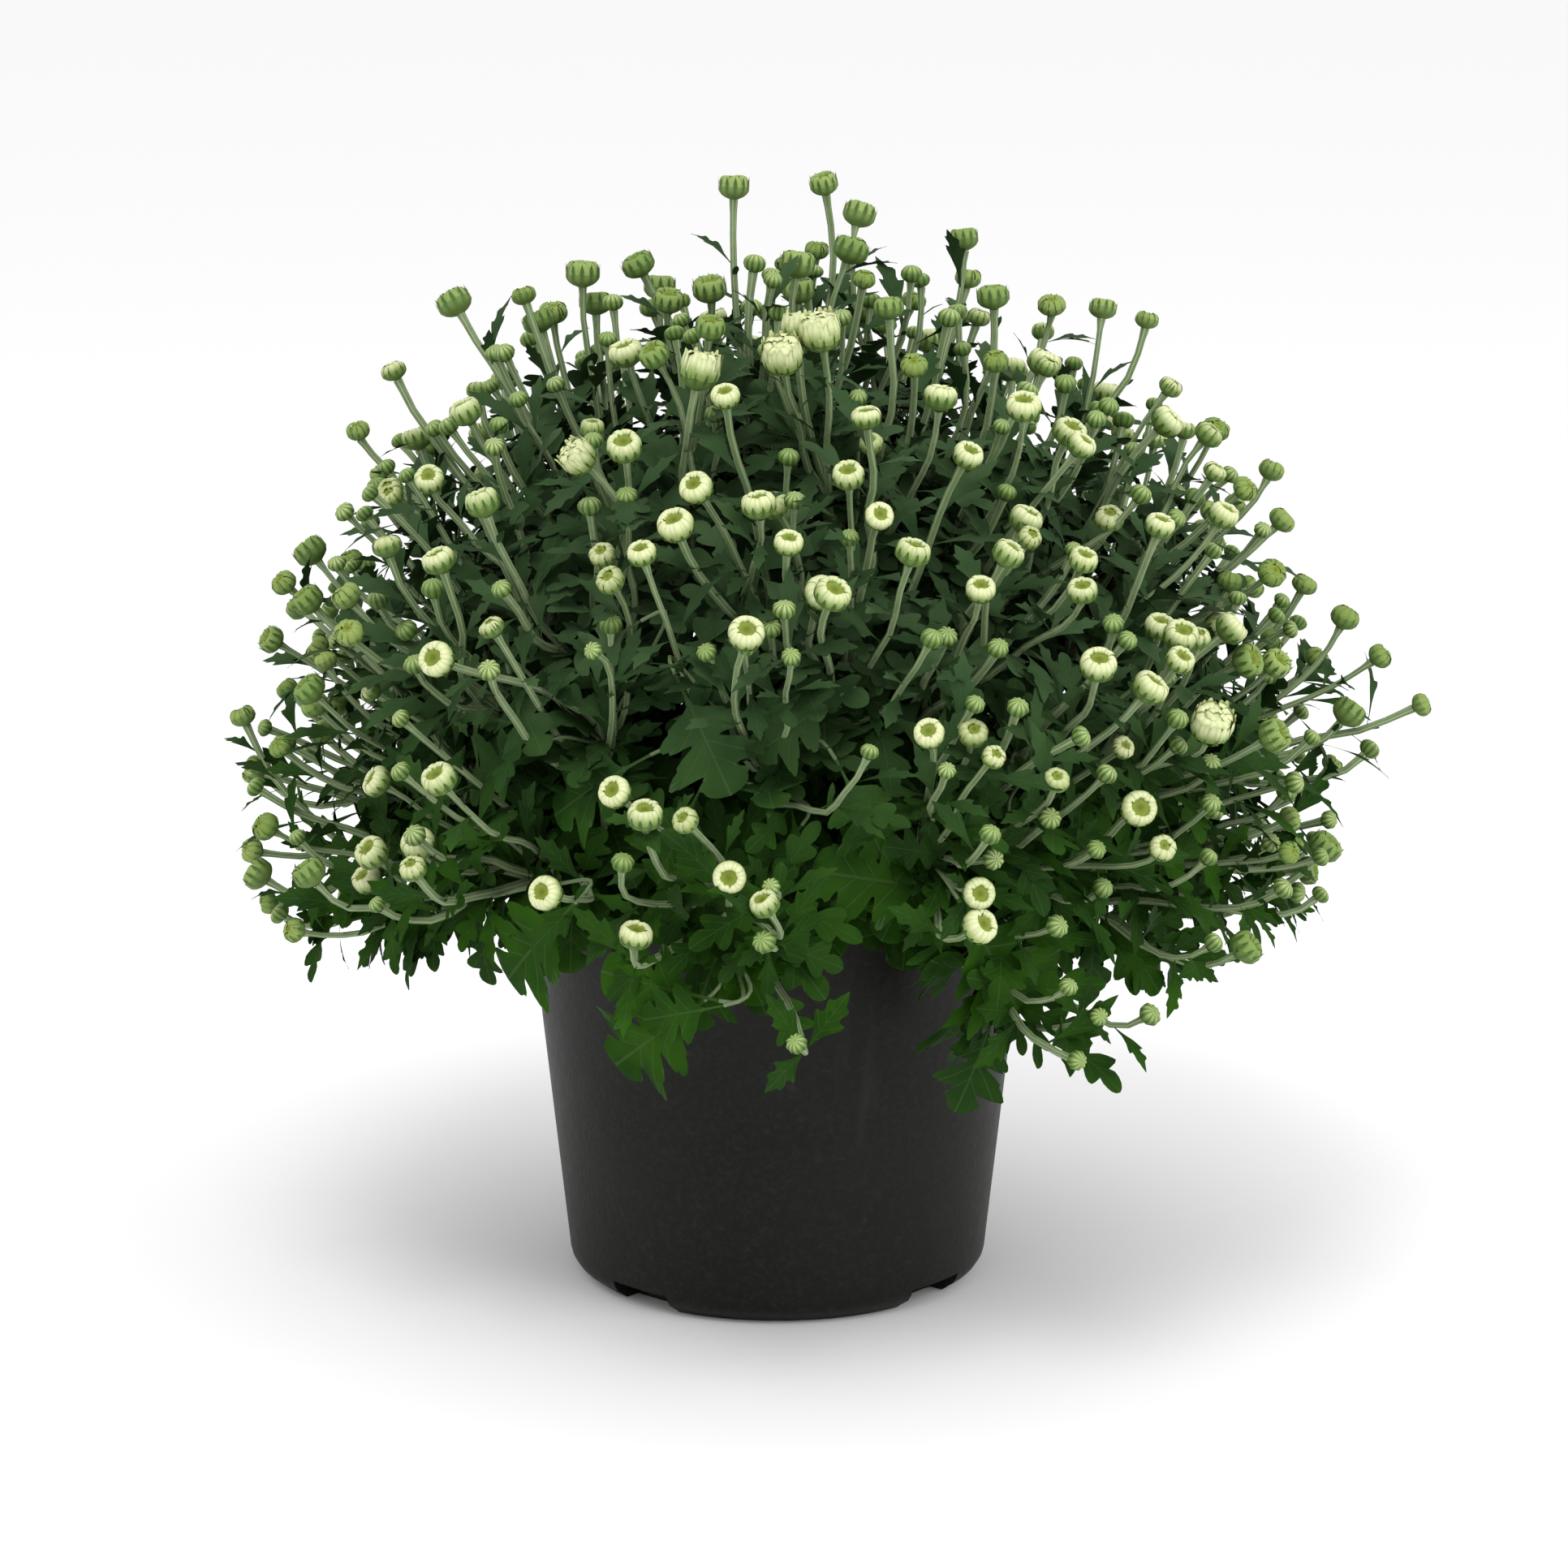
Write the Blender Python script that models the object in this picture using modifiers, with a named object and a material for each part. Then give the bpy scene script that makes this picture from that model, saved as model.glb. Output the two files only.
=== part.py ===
# Pot chrysanthemum: a black nursery pot, its soil and the leafy stems that stand in it.
# Units are metres, +Z is up, the pot stands on Z = 0 and the front looks along -Y.
import math
import random
from collections import namedtuple

import bmesh
import bpy
from mathutils import Vector
from mathutils.bvhtree import BVHTree

# Pot
POT_HEIGHT = 0.185
WALL_TOP_RADIUS = 0.1055
WALL_FOOT_RADIUS = 0.0867
LOWER_EDGE_HEIGHT = 0.008
FOOT_RADIUS = 0.0788
WALL = 0.0018
FLOOR = 0.003
LIP_OUT = 0.002
LIP_HEIGHT = 0.006
NOTCH_COUNT = 4
NOTCH_WIDTH = 0.029
NOTCH_HEIGHT = 0.009
NOTCH_DEPTH = 0.015
NOTCH_OUT = 0.007
NOTCH_FIRST_ANGLE = math.radians(-41)
ROUND_STEPS = 36

# Soil
GAP = 0.0003
SOIL_TOP = 0.169
BURIED = 0.011
HOLE_CLEARANCE = 0.0009
HOLE_SIDES = 6

# The dome of heads, and the point below the soil that the stems fan out from
HEART = Vector((0.008, 0, 0.200))
DOME_RADIUS = 0.225
APEX = Vector((0, 0, 0.145))
CELL_GAP = 0.0005
# Rings of stems: how many, height angle and the azimuth of the first, in degrees
STEM_RINGS = ((12, 26, -93), (5, 44, -72), (3, 68, -40), (1, 90, 0))
RIM_STEM_ANGLE = math.radians(30)

# Stems, side branches and flower stalks
MAIN_RADIUS = 0.0023
BRANCH_RADIUS = 0.0016
STALK_RADIUS = 0.0012
ROOT_RADIUS = 0.0007
BRANCH_MARGIN = 0.0026
MAIN_LENGTH = 0.115
LONGEST_MAIN = MAIN_LENGTH * 1.15
RIM_CLEARANCE = 0.010
# Side branches leave this stretch of the main stem's upper half
BRANCH_STARTS = (0.55, 0.95)
BRANCH_STEPS = 2
STALK_STEPS = 2
# How far a stalk keeps the way it leaves, and comes in along its head's axis, as shares of its length
LEAVING_SHARE = 0.30
ARRIVING_SHARE = 0.36
# A side stalk leaves by this much towards its head and this much aside, in the branch's last stretch
STALK_AIM = 0.8
STALK_SPREAD = 0.35
ROOT_SPAN = 0.9
HUB_TAPER = 0.9
GROUP_SIZE = 6.6
STALK_LENGTH = 0.056
HUB_DROP = 0.010

# Heads: widths of a tight bud, a bud that shows its petals, a half-open button and a ragged open head
HEAD_WIDTHS = {"bud": 0.0082, "opening": 0.0104, "button": 0.0124, "ragged": 0.0158}
WIDTH_RANGE = (0.86, 1.14)
RULE_HEADS = 540
LOWEST_RULE_ANGLE = math.radians(-8)
HEAD_SPACING = 0.0138
# How far the rule's heads stray from their even places, in radians
HEIGHT_STRAY = 0.055
TURN_STRAY = 0.08
SEEN_REACH = (0.97, 1.01)
RULE_REACH = (0.87, 1.0)
BUTTON_SHARE = 0.11
OPENING_SHARE = 0.26
# The solids take every head read off the front, the rule's buttons and this share of its buds at the back
BACK_BUD_SHARE = 0.10
# The leafy part of the front, across and up in metres, where the rule adds no heads
BARE_ACROSS = (-0.128, 0.062)
BARE_UP = (0.095, 0.238)
UPWARD_PULL = 0.75
HEAD_WOBBLE = 0.60
HEAD_ROOM = 0.62
GROUPING_ROUNDS = 4

# Leaves
LEAF_LENGTH = 0.046
LEAF_THICKNESS = 0.0010
LEAF_SLIMNESS = 0.82
# Half of the blade's edge, and its rib: how far along and to the side, as shares of length and width
LEAF_EDGE = ((0.0, 0.025), (0.30, 0.05), (0.40, 0.42), (0.52, 0.20), (0.72, 0.50), (0.80, 0.20))
LEAF_RIB = (0.42, 0.74)
LEAF_NOTCH = 3
SAG_ALONG = 0.20
SAG_ACROSS = 0.25
# How far along the main stem its own leaves grow, and along its branch each branch's leaf
MAIN_LEAF_SHARES = (0.62, 0.95)
BRANCH_LEAF_SPAN = (0.35, 0.62)
BRANCH_LEAF_SIZES = (0.75, 1)
# How a leaf lies: shares of its shoot's way, of outward, sideways and down, and how far its face tips up
SPREAD_ONWARD = (0, 0.6)
SPREAD_FACE_UP = (0, 0.5)
HANG_OUT = (0.3, 0.9)
HANG_ASIDE = (-0.9, 0.9)
HANG_DOWN = (0.05, 0.6)
HANG_FACE_UP = (0.3, 0.9)
LEAF_TRIES = 200
SMALLEST_LEAF = 0.6
LEAF_ROOM = 0.0016
LEAF_POT_GAP = 0.003
FREE_BLADE = 0.3

GOLDEN_ANGLE = math.pi * (3 - math.sqrt(5))
SMOOTH_ANGLE = math.radians(35)

# The eye that the front was looked at from, and its level line through the plant
SIGHT_PITCH = math.radians(13)
SIGHT_DISTANCE = 2.0
SIGHT_TARGET = Vector((0.0027, 0, 0.2047))
SIGHT_BASE_UP = 0.195

# Heads read off the front, in millimetres across and up from the middle of the pot's foot
SEEN_RAGGED = ((9, 375), (19, 373), (3, 364), (-33, 357), (-77, 325), (177, 214))
SEEN_BUTTONS = (
    (-18, 435), (32, 424), (-58, 403), (-80, 399), (-130, 388), (77, 414), (127, 389), (20, 437),
    (-20, 354), (-48, 367), (-20, 380), (28, 409), (46, 386), (89, 390),
    (66, 347), (101, 345), (37, 341), (122, 330), (76, 326), (-54, 335), (-129, 339),
    (-142, 317), (-31, 313), (-7, 304), (41, 303), (-119, 305), (4, 290), (54, 285),
    (21, 269), (-137, 282), (-57, 289), (92, 285), (124, 283), (127, 268), (150, 299),
    (83, 271), (180, 304), (131, 239), (159, 242), (150, 230), (59, 219), (-13, 253),
    (-137, 245), (199, 212), (147, 184), (-71, 190), (-54, 177), (-19, 157), (-92, 149),
    (-136, 193), (-3, 142), (-209, 155), (-189, 154), (188, 125), (-59, 128),
)
SEEN_OPENING = (
    (-103, 392), (-156, 361), (-173, 335), (-200, 275), (-218, 219), (-195, 134), (-148, 157),
    (151, 382), (159, 355), (174, 335), (201, 320), (231, 259), (244, 245), (261, 226), (87, 204),
    (114, 194), (157, 167), (-36, 178),
)
SEEN_BUDS = ((-176, 305), (241, 207), (222, 149), (151, 99), (131, 99), (121, 82), (-4, 129), (9, 87))
# Buds that the solids leave out
SMALL_BUDS = (
    (-73, 249), (6, 246), (37, 206), (79, 227), (69, 199), (-118, 240), (-2, 152), (86, 172), (1, 262),
    (62, 252), (-64, 160), (142, 252), (136, 261), (-14, 250), (98, 224), (122, 213),
)
SEED = 11

Head = namedtuple("Head", "place facing width stage in_solid")
Shoot = namedtuple("Shoot", "points radii head")
Leaf = namedtuple("Leaf", "root along face length width")
Stem = namedtuple("Stem", "shoots leaves")

UP = Vector((0, 0, 1))
STEM_GREEN = (0.18, 0.24, 0.12)
CREAM = (0.78, 0.80, 0.50)


# Growth: directions and places

def direction(azimuth, height_angle):
    level = math.cos(height_angle)
    return Vector((level * math.cos(azimuth), level * math.sin(azimuth), math.sin(height_angle)))


def stem_directions():
    found = []
    for count, height_angle, first in STEM_RINGS:
        for k in range(count):
            azimuth = math.radians(first + 360 * k / count)
            found.append(direction(azimuth, math.radians(height_angle)))
    return found


def cell_walls(directions, index):
    """Normals of the planes through APEX that part one stem's space from the others'."""
    own = directions[index]
    return [(own - other).normalized() for other in directions if other is not own]


def pulled_in(point, walls, margin):
    """The point, moved as little as it takes to lie this far inside its stem's space."""
    moved = point.copy()
    for _ in range(40):
        nearest = min(walls, key=lambda wall: (moved - APEX).dot(wall))
        short = margin - (moved - APEX).dot(nearest)
        if short <= 0:
            break
        moved += nearest * (short * 1.02 + 1e-6)
    return moved


def is_inside(point, walls, margin=CELL_GAP):
    return all((point - APEX).dot(wall) >= margin for wall in walls)


def clears_pot(point, gap):
    """Whether a point is above the rim, outside the lip, or over the soil in the pot's mouth."""
    across = math.hypot(point.x, point.y)
    if point.z >= POT_HEIGHT + gap or across >= WALL_TOP_RADIUS + LIP_OUT + gap:
        return True
    return across <= WALL_TOP_RADIUS - WALL - gap and point.z >= SOIL_TOP + gap


def curve_points(start, lead, arrive, end, steps):
    """Points of the curve from start to end that leaves towards lead and comes from arrive."""
    found = []
    for k in range(steps + 1):
        t = k / steps
        s = 1 - t
        found.append(start * s**3 + lead * 3 * s * s * t + arrive * 3 * s * t * t + end * t**3)
    return found


# Growth: heads

def sight_point(across, up, reach):
    """Where the line of sight through a place on the front view meets the dome."""
    view = Vector((0, math.cos(SIGHT_PITCH), -math.sin(SIGHT_PITCH)))
    rise = Vector((0, math.sin(SIGHT_PITCH), math.cos(SIGHT_PITCH)))
    eye = SIGHT_TARGET - view * SIGHT_DISTANCE
    aim = SIGHT_TARGET + rise * (up / 1000 - SIGHT_BASE_UP)
    aim.x = across / 1000
    ray = (aim - eye).normalized()
    nearest = eye + ray * (HEART - eye).dot(ray)
    off = (nearest - HEART).length
    return nearest - ray * math.sqrt(max(reach * reach - off * off, 0))


def new_head(place, stage, in_solid, rng):
    wobble = Vector((rng.uniform(-1, 1), rng.uniform(-1, 1), rng.uniform(-1, 1)))
    outward = (place - HEART).normalized()
    facing = (outward + UP * UPWARD_PULL + wobble * HEAD_WOBBLE).normalized()
    return Head(place, facing, HEAD_WIDTHS[stage] * rng.uniform(*WIDTH_RANGE), stage, in_solid)


def seen_heads(rng):
    found = []
    for stage, places in (
        ("ragged", SEEN_RAGGED), ("button", SEEN_BUTTONS), ("opening", SEEN_OPENING),
        ("bud", SEEN_BUDS), ("bud", SMALL_BUDS),
    ):
        for across, up in places:
            reach = DOME_RADIUS * rng.uniform(*SEEN_REACH)
            found.append(new_head(sight_point(across, up, reach), stage, places is not SMALL_BUDS, rng))
    return found


def in_bare_front(place):
    """Whether a place on the front half is seen in its leafy part."""
    rise = Vector((0, math.sin(SIGHT_PITCH), math.cos(SIGHT_PITCH)))
    up = rise.dot(place - SIGHT_TARGET) + SIGHT_BASE_UP
    across = BARE_ACROSS[0] < place.x < BARE_ACROSS[1]
    return place.y < 0 and across and BARE_UP[0] < up < BARE_UP[1]


def drawn_stage(rng):
    draw = rng.random()
    if draw < BUTTON_SHARE:
        return "button"
    return "opening" if draw < BUTTON_SHARE + OPENING_SHARE else "bud"


def rule_heads(taken, rng):
    """Heads spread evenly over the dome by the golden angle, in the room between those taken."""
    found = list(taken)
    lowest = math.sin(LOWEST_RULE_ANGLE)
    for k in range(RULE_HEADS):
        rise = lowest + (1 - lowest) * (k + 0.5) / RULE_HEADS
        height_angle = math.asin(rise) + rng.gauss(0, HEIGHT_STRAY)
        azimuth = k * GOLDEN_ANGLE + rng.gauss(0, TURN_STRAY)
        reach = DOME_RADIUS * rng.uniform(*RULE_REACH)
        stage = drawn_stage(rng)
        outward = direction(azimuth, height_angle)
        in_solid = stage == "button" or (outward.y > 0 and rng.random() < BACK_BUD_SHARE)
        head = new_head(HEART + outward * reach, stage, in_solid, rng)
        has_room = all((head.place - other.place).length > HEAD_SPACING for other in found)
        if has_room and not in_bare_front(head.place):
            found.append(head)
    return found


def heads_by_stem(directions):
    """Every head with the stem whose space it lies in."""
    rng = random.Random(SEED)
    heads = rule_heads(seen_heads(rng), rng)
    owned = [[] for _ in directions]
    for head in heads:
        outward = (head.place - APEX).normalized()
        index = max(range(len(directions)), key=lambda k: outward.dot(directions[k]))
        owned[index].append(head)
    return owned


def groups_of(heads):
    """Heads gathered round the ones that lie farthest apart, about GROUP_SIZE to a group."""
    if not heads:
        return []
    count = max(1, round(len(heads) / GROUP_SIZE))
    centres = [heads[0].place]
    while len(centres) < count:
        centres.append(max((h.place for h in heads), key=lambda p: min((p - c).length for c in centres)))
    for _ in range(GROUPING_ROUNDS):
        groups = [[] for _ in centres]
        for head in heads:
            nearest = min(range(len(centres)), key=lambda k: (head.place - centres[k]).length)
            groups[nearest].append(head)
        groups = [group for group in groups if group]
        centres = [sum((h.place for h in group), Vector()) / len(group) for group in groups]
    return groups


# Growth: one leafy stem

def main_points(way):
    """The main stem's line, from its foot in the soil past the rim or into the middle of the bush."""
    level = math.hypot(way.x, way.y)
    past_rim = (WALL_TOP_RADIUS + LIP_OUT + RIM_CLEARANCE) / max(level, 0.01)
    start = (SOIL_TOP - APEX.z) / way.z - BURIED
    end = min(max(past_rim, MAIN_LENGTH), LONGEST_MAIN)
    return [APEX + way * start, APEX + way * (start + end) / 2, APEX + way * end]


def hub_of(middle, walls):
    """The place where a group's flower stalks part, a stalk's length under its heads."""
    inward = (APEX - middle).normalized()
    return pulled_in(middle + inward * STALK_LENGTH - UP * HUB_DROP, walls, BRANCH_MARGIN)


def branch_points(start, way, hub, middle, walls):
    """A side branch's line from the main stem to its hub."""
    length = (hub - start).length
    lead = pulled_in(start + way * length * LEAVING_SHARE, walls, BRANCH_MARGIN)
    arrive = pulled_in(hub - (middle - hub).normalized() * length * LEAVING_SHARE, walls, BRANCH_MARGIN)
    return curve_points(start, lead, arrive, hub, BRANCH_STEPS)


def stalk_points(root, leaving, head, walls):
    """A flower stalk's line, which bends from the way it leaves until it meets its head square on."""
    length = (head.place - root).length
    lead = pulled_in(root + leaving * length * LEAVING_SHARE, walls, BRANCH_MARGIN)
    arrive = pulled_in(head.place - head.facing * length * ARRIVING_SHARE, walls, BRANCH_MARGIN)
    return curve_points(root, lead, arrive, head.place, STALK_STEPS)


def side_way(root, onward, head):
    """The way that a side stalk leaves its branch: towards its head, but clear of the branch at once."""
    towards = (head.place - root).normalized()
    aside = (towards - onward * towards.dot(onward)).normalized()
    return towards * STALK_AIM + aside * STALK_SPREAD


def tapered(points, first, last):
    return [first + (last - first) * k / (len(points) - 1) for k in range(len(points))]


def leader_shoot(leader, before, branch, walls):
    """The shoot that runs on past the hub to its group's middle head; a stem's first starts in the soil."""
    onward = (branch[-1] - branch[-2]).normalized()
    stalk = stalk_points(branch[-1], onward, leader, walls)
    radii = tapered(branch, BRANCH_RADIUS, BRANCH_RADIUS * HUB_TAPER)
    if before:
        radii = tapered(before, MAIN_RADIUS, BRANCH_RADIUS)[:-1] + radii
    else:
        radii[0] = ROOT_RADIUS
    return Shoot(before[:-1] + branch + stalk[1:], radii + [STALK_RADIUS] * STALK_STEPS, leader)


def group_shoots(group, before, start, way, walls):
    """A group's leader, and for each other head a stalk that roots in the branch's last stretch."""
    middle = sum((head.place for head in group), Vector()) / len(group)
    hub = hub_of(middle, walls)
    branch = branch_points(start, way, hub, middle, walls)
    onward = (branch[-1] - branch[-2]).normalized()
    ranked = sorted(group, key=lambda head: (not head.in_solid, (head.place - middle).length))
    shoots = [leader_shoot(ranked[0]._replace(in_solid=True), before, branch, walls)]
    widest_first = sorted(ranked[1:], key=lambda head: onward.dot((head.place - hub).normalized()))
    for k, head in enumerate(widest_first):
        root = branch[-1].lerp(branch[-2], ROOT_SPAN * (1 - k / len(group)))
        line = stalk_points(root, side_way(root, onward, head), head, walls)
        shoots.append(Shoot(line, [ROOT_RADIUS] + [STALK_RADIUS] * STALK_STEPS, head))
    return shoots


def leaf_frame(leaf):
    along = leaf.along.normalized()
    side = leaf.face.cross(along).normalized()
    return along, side, along.cross(side)


def leaf_spot(leaf, ahead, across, lift=0.0):
    """A place on a leaf's blade, which sags towards its tip and its sides."""
    along, side, face = leaf_frame(leaf)
    sag = leaf.length * SAG_ALONG * ahead * ahead + leaf.width * SAG_ACROSS * across * across
    return leaf.root + along * ahead * leaf.length + side * across * leaf.width + face * (lift - sag)


def leaf_edge(leaf):
    """The blade's whole edge, from one side of its foot round the tip to the other."""
    left = [leaf_spot(leaf, ahead, across) for ahead, across in LEAF_EDGE]
    right = [leaf_spot(leaf, ahead, -across) for ahead, across in LEAF_EDGE]
    return left + [leaf_spot(leaf, 1, 0)] + right[::-1]


def blade_triangles(edge, near, far):
    """A blade's triangles from its edge to the two points of its rib."""
    first, last = LEAF_NOTCH, len(edge) - 1 - LEAF_NOTCH
    found = [(edge[first], near, far), (edge[last], near, far)]
    for k in range(len(edge)):
        found.append((edge[k], edge[(k + 1) % len(edge)], far if first <= k < last else near))
    return found


def tree_of(triangles):
    points = [point for triangle in triangles for point in triangle]
    return BVHTree.FromPolygons(points, [(k, k + 1, k + 2) for k in range(0, len(points), 3)])


def blade_tree(leaf, beyond):
    """The part of a blade that lies beyond a share of its length."""
    near, far = (leaf_spot(leaf, ahead, 0) for ahead in LEAF_RIB)
    along = leaf_frame(leaf)[0]
    triangles = blade_triangles(leaf_edge(leaf), near, far)
    limit = beyond * leaf.length
    return tree_of([t for t in triangles if sum((p - leaf.root).dot(along) for p in t) / 3 >= limit])


def shoot_tree(shoots):
    """Crossed ribbons along the shoots, a little wider than they are."""
    triangles = []
    for shoot in shoots:
        for a, b in zip(shoot.points, shoot.points[1:]):
            side = (b - a).orthogonal().normalized()
            for wide in (side, side.cross((b - a).normalized())):
                reach = wide * (STALK_RADIUS + LEAF_ROOM)
                triangles += [(a - reach, a + reach, b - reach), (a + reach, b + reach, b - reach)]
    return tree_of(triangles)


def leaf_fits(leaf, walls, taken, leaf_trees):
    marks = leaf_edge(leaf)[2:-2]
    marks += [leaf_spot(leaf, ahead, 0) for ahead in (0.3, 0.5, 0.65, 0.8)]
    marks += [marks[k].lerp(marks[k + 1], 0.5) for k in range(len(marks) - 1)]
    if not all(is_inside(mark, walls, CELL_GAP * 3) and clears_pot(mark, LEAF_POT_GAP) for mark in marks):
        return False
    if blade_tree(leaf, FREE_BLADE).overlap(taken):
        return False
    whole = blade_tree(leaf, 0)
    return not any(whole.overlap(other) for other in leaf_trees)


def spread_pose(root, rng):
    """Direction and face of a leaf that spreads sideways from its shoot and faces out of the bush."""
    way = (root - APEX).normalized()
    side = way.orthogonal().normalized()
    turn = rng.uniform(0, 2 * math.pi)
    spread = side * math.cos(turn) + way.cross(side) * math.sin(turn)
    return spread + way * rng.uniform(*SPREAD_ONWARD), way + UP * rng.uniform(*SPREAD_FACE_UP)


def hanging_pose(root, rng):
    """Direction and face of a leaf that hangs over the pot's rim."""
    level = Vector((root.x, root.y, 0)).normalized()
    side = UP.cross(level)
    along = level * rng.uniform(*HANG_OUT) + side * rng.uniform(*HANG_ASIDE) - UP * rng.uniform(*HANG_DOWN)
    return along, level + UP * rng.uniform(*HANG_FACE_UP)


def fitted_leaf(root, pose, length, walls, taken, leaf_trees, rng):
    """The first leaf of many tried, each somewhat smaller than the last, that has room."""
    for k in range(LEAF_TRIES):
        own_length = length * (1 - (1 - SMALLEST_LEAF) * k / LEAF_TRIES)
        along, face = pose(root, rng)
        leaf = Leaf(root, along.normalized(), face, own_length, own_length * LEAF_SLIMNESS)
        if leaf_fits(leaf, walls, taken, leaf_trees):
            return leaf
    return None


def on_branch(shoot, share):
    """A place on a leader's branch, by its share of the way to the hub."""
    hub, middle, start = (shoot.points[-k - STALK_STEPS] for k in (1, 2, 3))
    if share < 0.5:
        return start.lerp(middle, share * 2)
    return middle.lerp(hub, share * 2 - 1)


def leaf_orders(shoots, way, rng):
    """Where a stem's leaves grow, how they lie and how long they are."""
    main = shoots[0].points
    over_rim = way.z < math.sin(RIM_STEM_ANGLE)
    orders = []
    for share, pose in zip(MAIN_LEAF_SHARES, (spread_pose, hanging_pose if over_rim else spread_pose)):
        orders.append((main[0].lerp(main[2], share), pose, LEAF_LENGTH))
    for shoot in shoots:
        if len(shoot.points) > STALK_STEPS + 1:
            root = on_branch(shoot, rng.uniform(*BRANCH_LEAF_SPAN))
            orders.append((root, spread_pose, LEAF_LENGTH * rng.uniform(*BRANCH_LEAF_SIZES)))
    return orders


def grow_leaves(shoots, way, walls, rng):
    taken = shoot_tree(shoots)
    found, leaf_trees = [], []
    for root, pose, length in leaf_orders(shoots, way, rng):
        leaf = fitted_leaf(root, pose, length, walls, taken, leaf_trees, rng)
        if leaf:
            found.append(leaf)
            leaf_trees.append(blade_tree(leaf, 0))
    return found


def grow_stem(index, directions, heads):
    rng = random.Random(SEED * 1000 + index)
    way = directions[index]
    walls = cell_walls(directions, index)
    main = main_points(way)
    placed = []
    for head in heads:
        margin = head.width * HEAD_ROOM + CELL_GAP * 2
        placed.append(head._replace(place=pulled_in(head.place, walls, margin)))
    shoots = []
    for k, group in enumerate(groups_of(placed)):
        if k == 0:
            shoots += group_shoots(group, main, main[-1], way, walls)
        else:
            start = main[-2].lerp(main[-1], rng.uniform(*BRANCH_STARTS))
            shoots += group_shoots(group, [], start, way, walls)
    in_solids = [shoot for shoot in shoots if shoot.head.in_solid]
    return Stem(shoots, grow_leaves(in_solids, way, walls, rng))


# Meshes

def ring(centre, axis, reference, radius, sides, turn=0.0):
    side = reference - axis * reference.dot(axis)
    side.normalize()
    other = axis.cross(side)
    found = []
    for k in range(sides):
        angle = turn + 2 * math.pi * k / sides
        found.append(centre + (side * math.cos(angle) + other * math.sin(angle)) * radius)
    return found


def bridge(bm, lower, upper, material):
    """Triangles between two rings that may have unlike counts."""
    low, high = 0, 0
    while low < len(lower) or high < len(upper):
        a = lower[low % len(lower)]
        b = upper[high % len(upper)]
        if (low + 0.5) / len(lower) <= (high + 0.5) / len(upper):
            low += 1
            face = bm.faces.new((a, lower[low % len(lower)], b))
        else:
            high += 1
            face = bm.faces.new((a, upper[high % len(upper)], b))
        face.material_index = material


def loft(bm, rings, materials, tip=None):
    """A closed solid through the rings, ended flat or, with a tip, in a fan to one point."""
    made = [[bm.verts.new(point) for point in points] for points in rings]
    bm.faces.new(made[0])
    for k in range(len(made) - 1):
        bridge(bm, made[k], made[k + 1], materials[k])
    if tip is None:
        bm.faces.new(made[-1])
        return
    peak = bm.verts.new(tip)
    last = made[-1]
    for k in range(len(last)):
        face = bm.faces.new((last[k], last[(k + 1) % len(last)], peak))
        face.material_index = materials[-1]


def tube_rings(points, radii):
    reference = Vector((0.31, 0.52, 0.79)).normalized()
    found = []
    for k, centre in enumerate(points):
        before = points[max(k - 1, 0)]
        after = points[min(k + 1, len(points) - 1)]
        axis = (after - before).normalized()
        sides = 4 if radii[k] > STALK_RADIUS * 1.05 else 3
        found.append(ring(centre, axis, reference, radii[k], sides))
        reference = (found[-1][0] - centre).normalized()
    return found, reference


def mesh_piece(name, build, collection):
    bm = bmesh.new()
    build(bm)
    bmesh.ops.recalc_face_normals(bm, faces=bm.faces)
    mesh = bpy.data.meshes.new(name)
    bm.to_mesh(mesh)
    bm.free()
    piece = bpy.data.objects.new(name, mesh)
    collection.objects.link(piece)
    return piece


# Sides, radius and height of each stage's rings, in shares of the head's width, and the pit's height
HEAD_FORMS = {
    "bud": (((5, 0.50, 0.36), (3, 0.30, 0.80)), None),
    "opening": (((5, 0.50, 0.38), (3, 0.32, 0.76)), None),
    "button": (((6, 0.50, 0.40), (6, 0.34, 0.70)), 0.46),
    "ragged": (((8, 0.42, 0.28), (8, 0.52, 0.58)), 0.42),
}


def build_shoot(shoot):
    """A shoot and the head that it ends in as one solid: four-sided where it is thick, then three-sided."""
    def build(bm):
        rings, reference = tube_rings(shoot.points, shoot.radii)
        materials = [0] * len(rings)
        head = shoot.head
        form, pit = HEAD_FORMS[head.stage]
        foot = shoot.points[-1]
        rings[-1] = ring(foot, head.facing, reference, shoot.radii[-1], 3)
        for sides, share, height in form:
            centre = foot + head.facing * height * head.width
            rings.append(ring(centre, head.facing, reference, share * head.width, sides))
            materials.append(1 if pit else 0)
        loft(bm, rings, materials, foot + head.facing * pit * head.width if pit else None)
    return build


def build_leaf(leaf):
    """A lobed blade: its edge, a rib above its middle and a rib below, split into triangles alike."""
    def build(bm):
        edge = [bm.verts.new(point) for point in leaf_edge(leaf)]
        for lift in (LEAF_THICKNESS / 2, -LEAF_THICKNESS / 2):
            near, far = (bm.verts.new(leaf_spot(leaf, ahead, 0, lift)) for ahead in LEAF_RIB)
            for triangle in blade_triangles(edge, near, far):
                bm.faces.new(triangle)
    return build


# Joining

def applied(obj, tools):
    """Applies the object's modifiers, shades it smooth but for its sharp edges, and removes the tools."""
    bpy.context.view_layer.update()
    graph = bpy.context.evaluated_depsgraph_get()
    mesh = bpy.data.meshes.new_from_object(obj.evaluated_get(graph))
    mesh.name = obj.name
    mesh.shade_smooth()
    mesh.set_sharp_from_angle(angle=SMOOTH_ANGLE)
    spent = [obj.data]
    obj.modifiers.clear()
    obj.data = mesh
    for tool in list(tools):
        spent.append(tool.data)
        bpy.data.objects.remove(tool)
    for old in spent:
        bpy.data.meshes.remove(old)
    return obj


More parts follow.
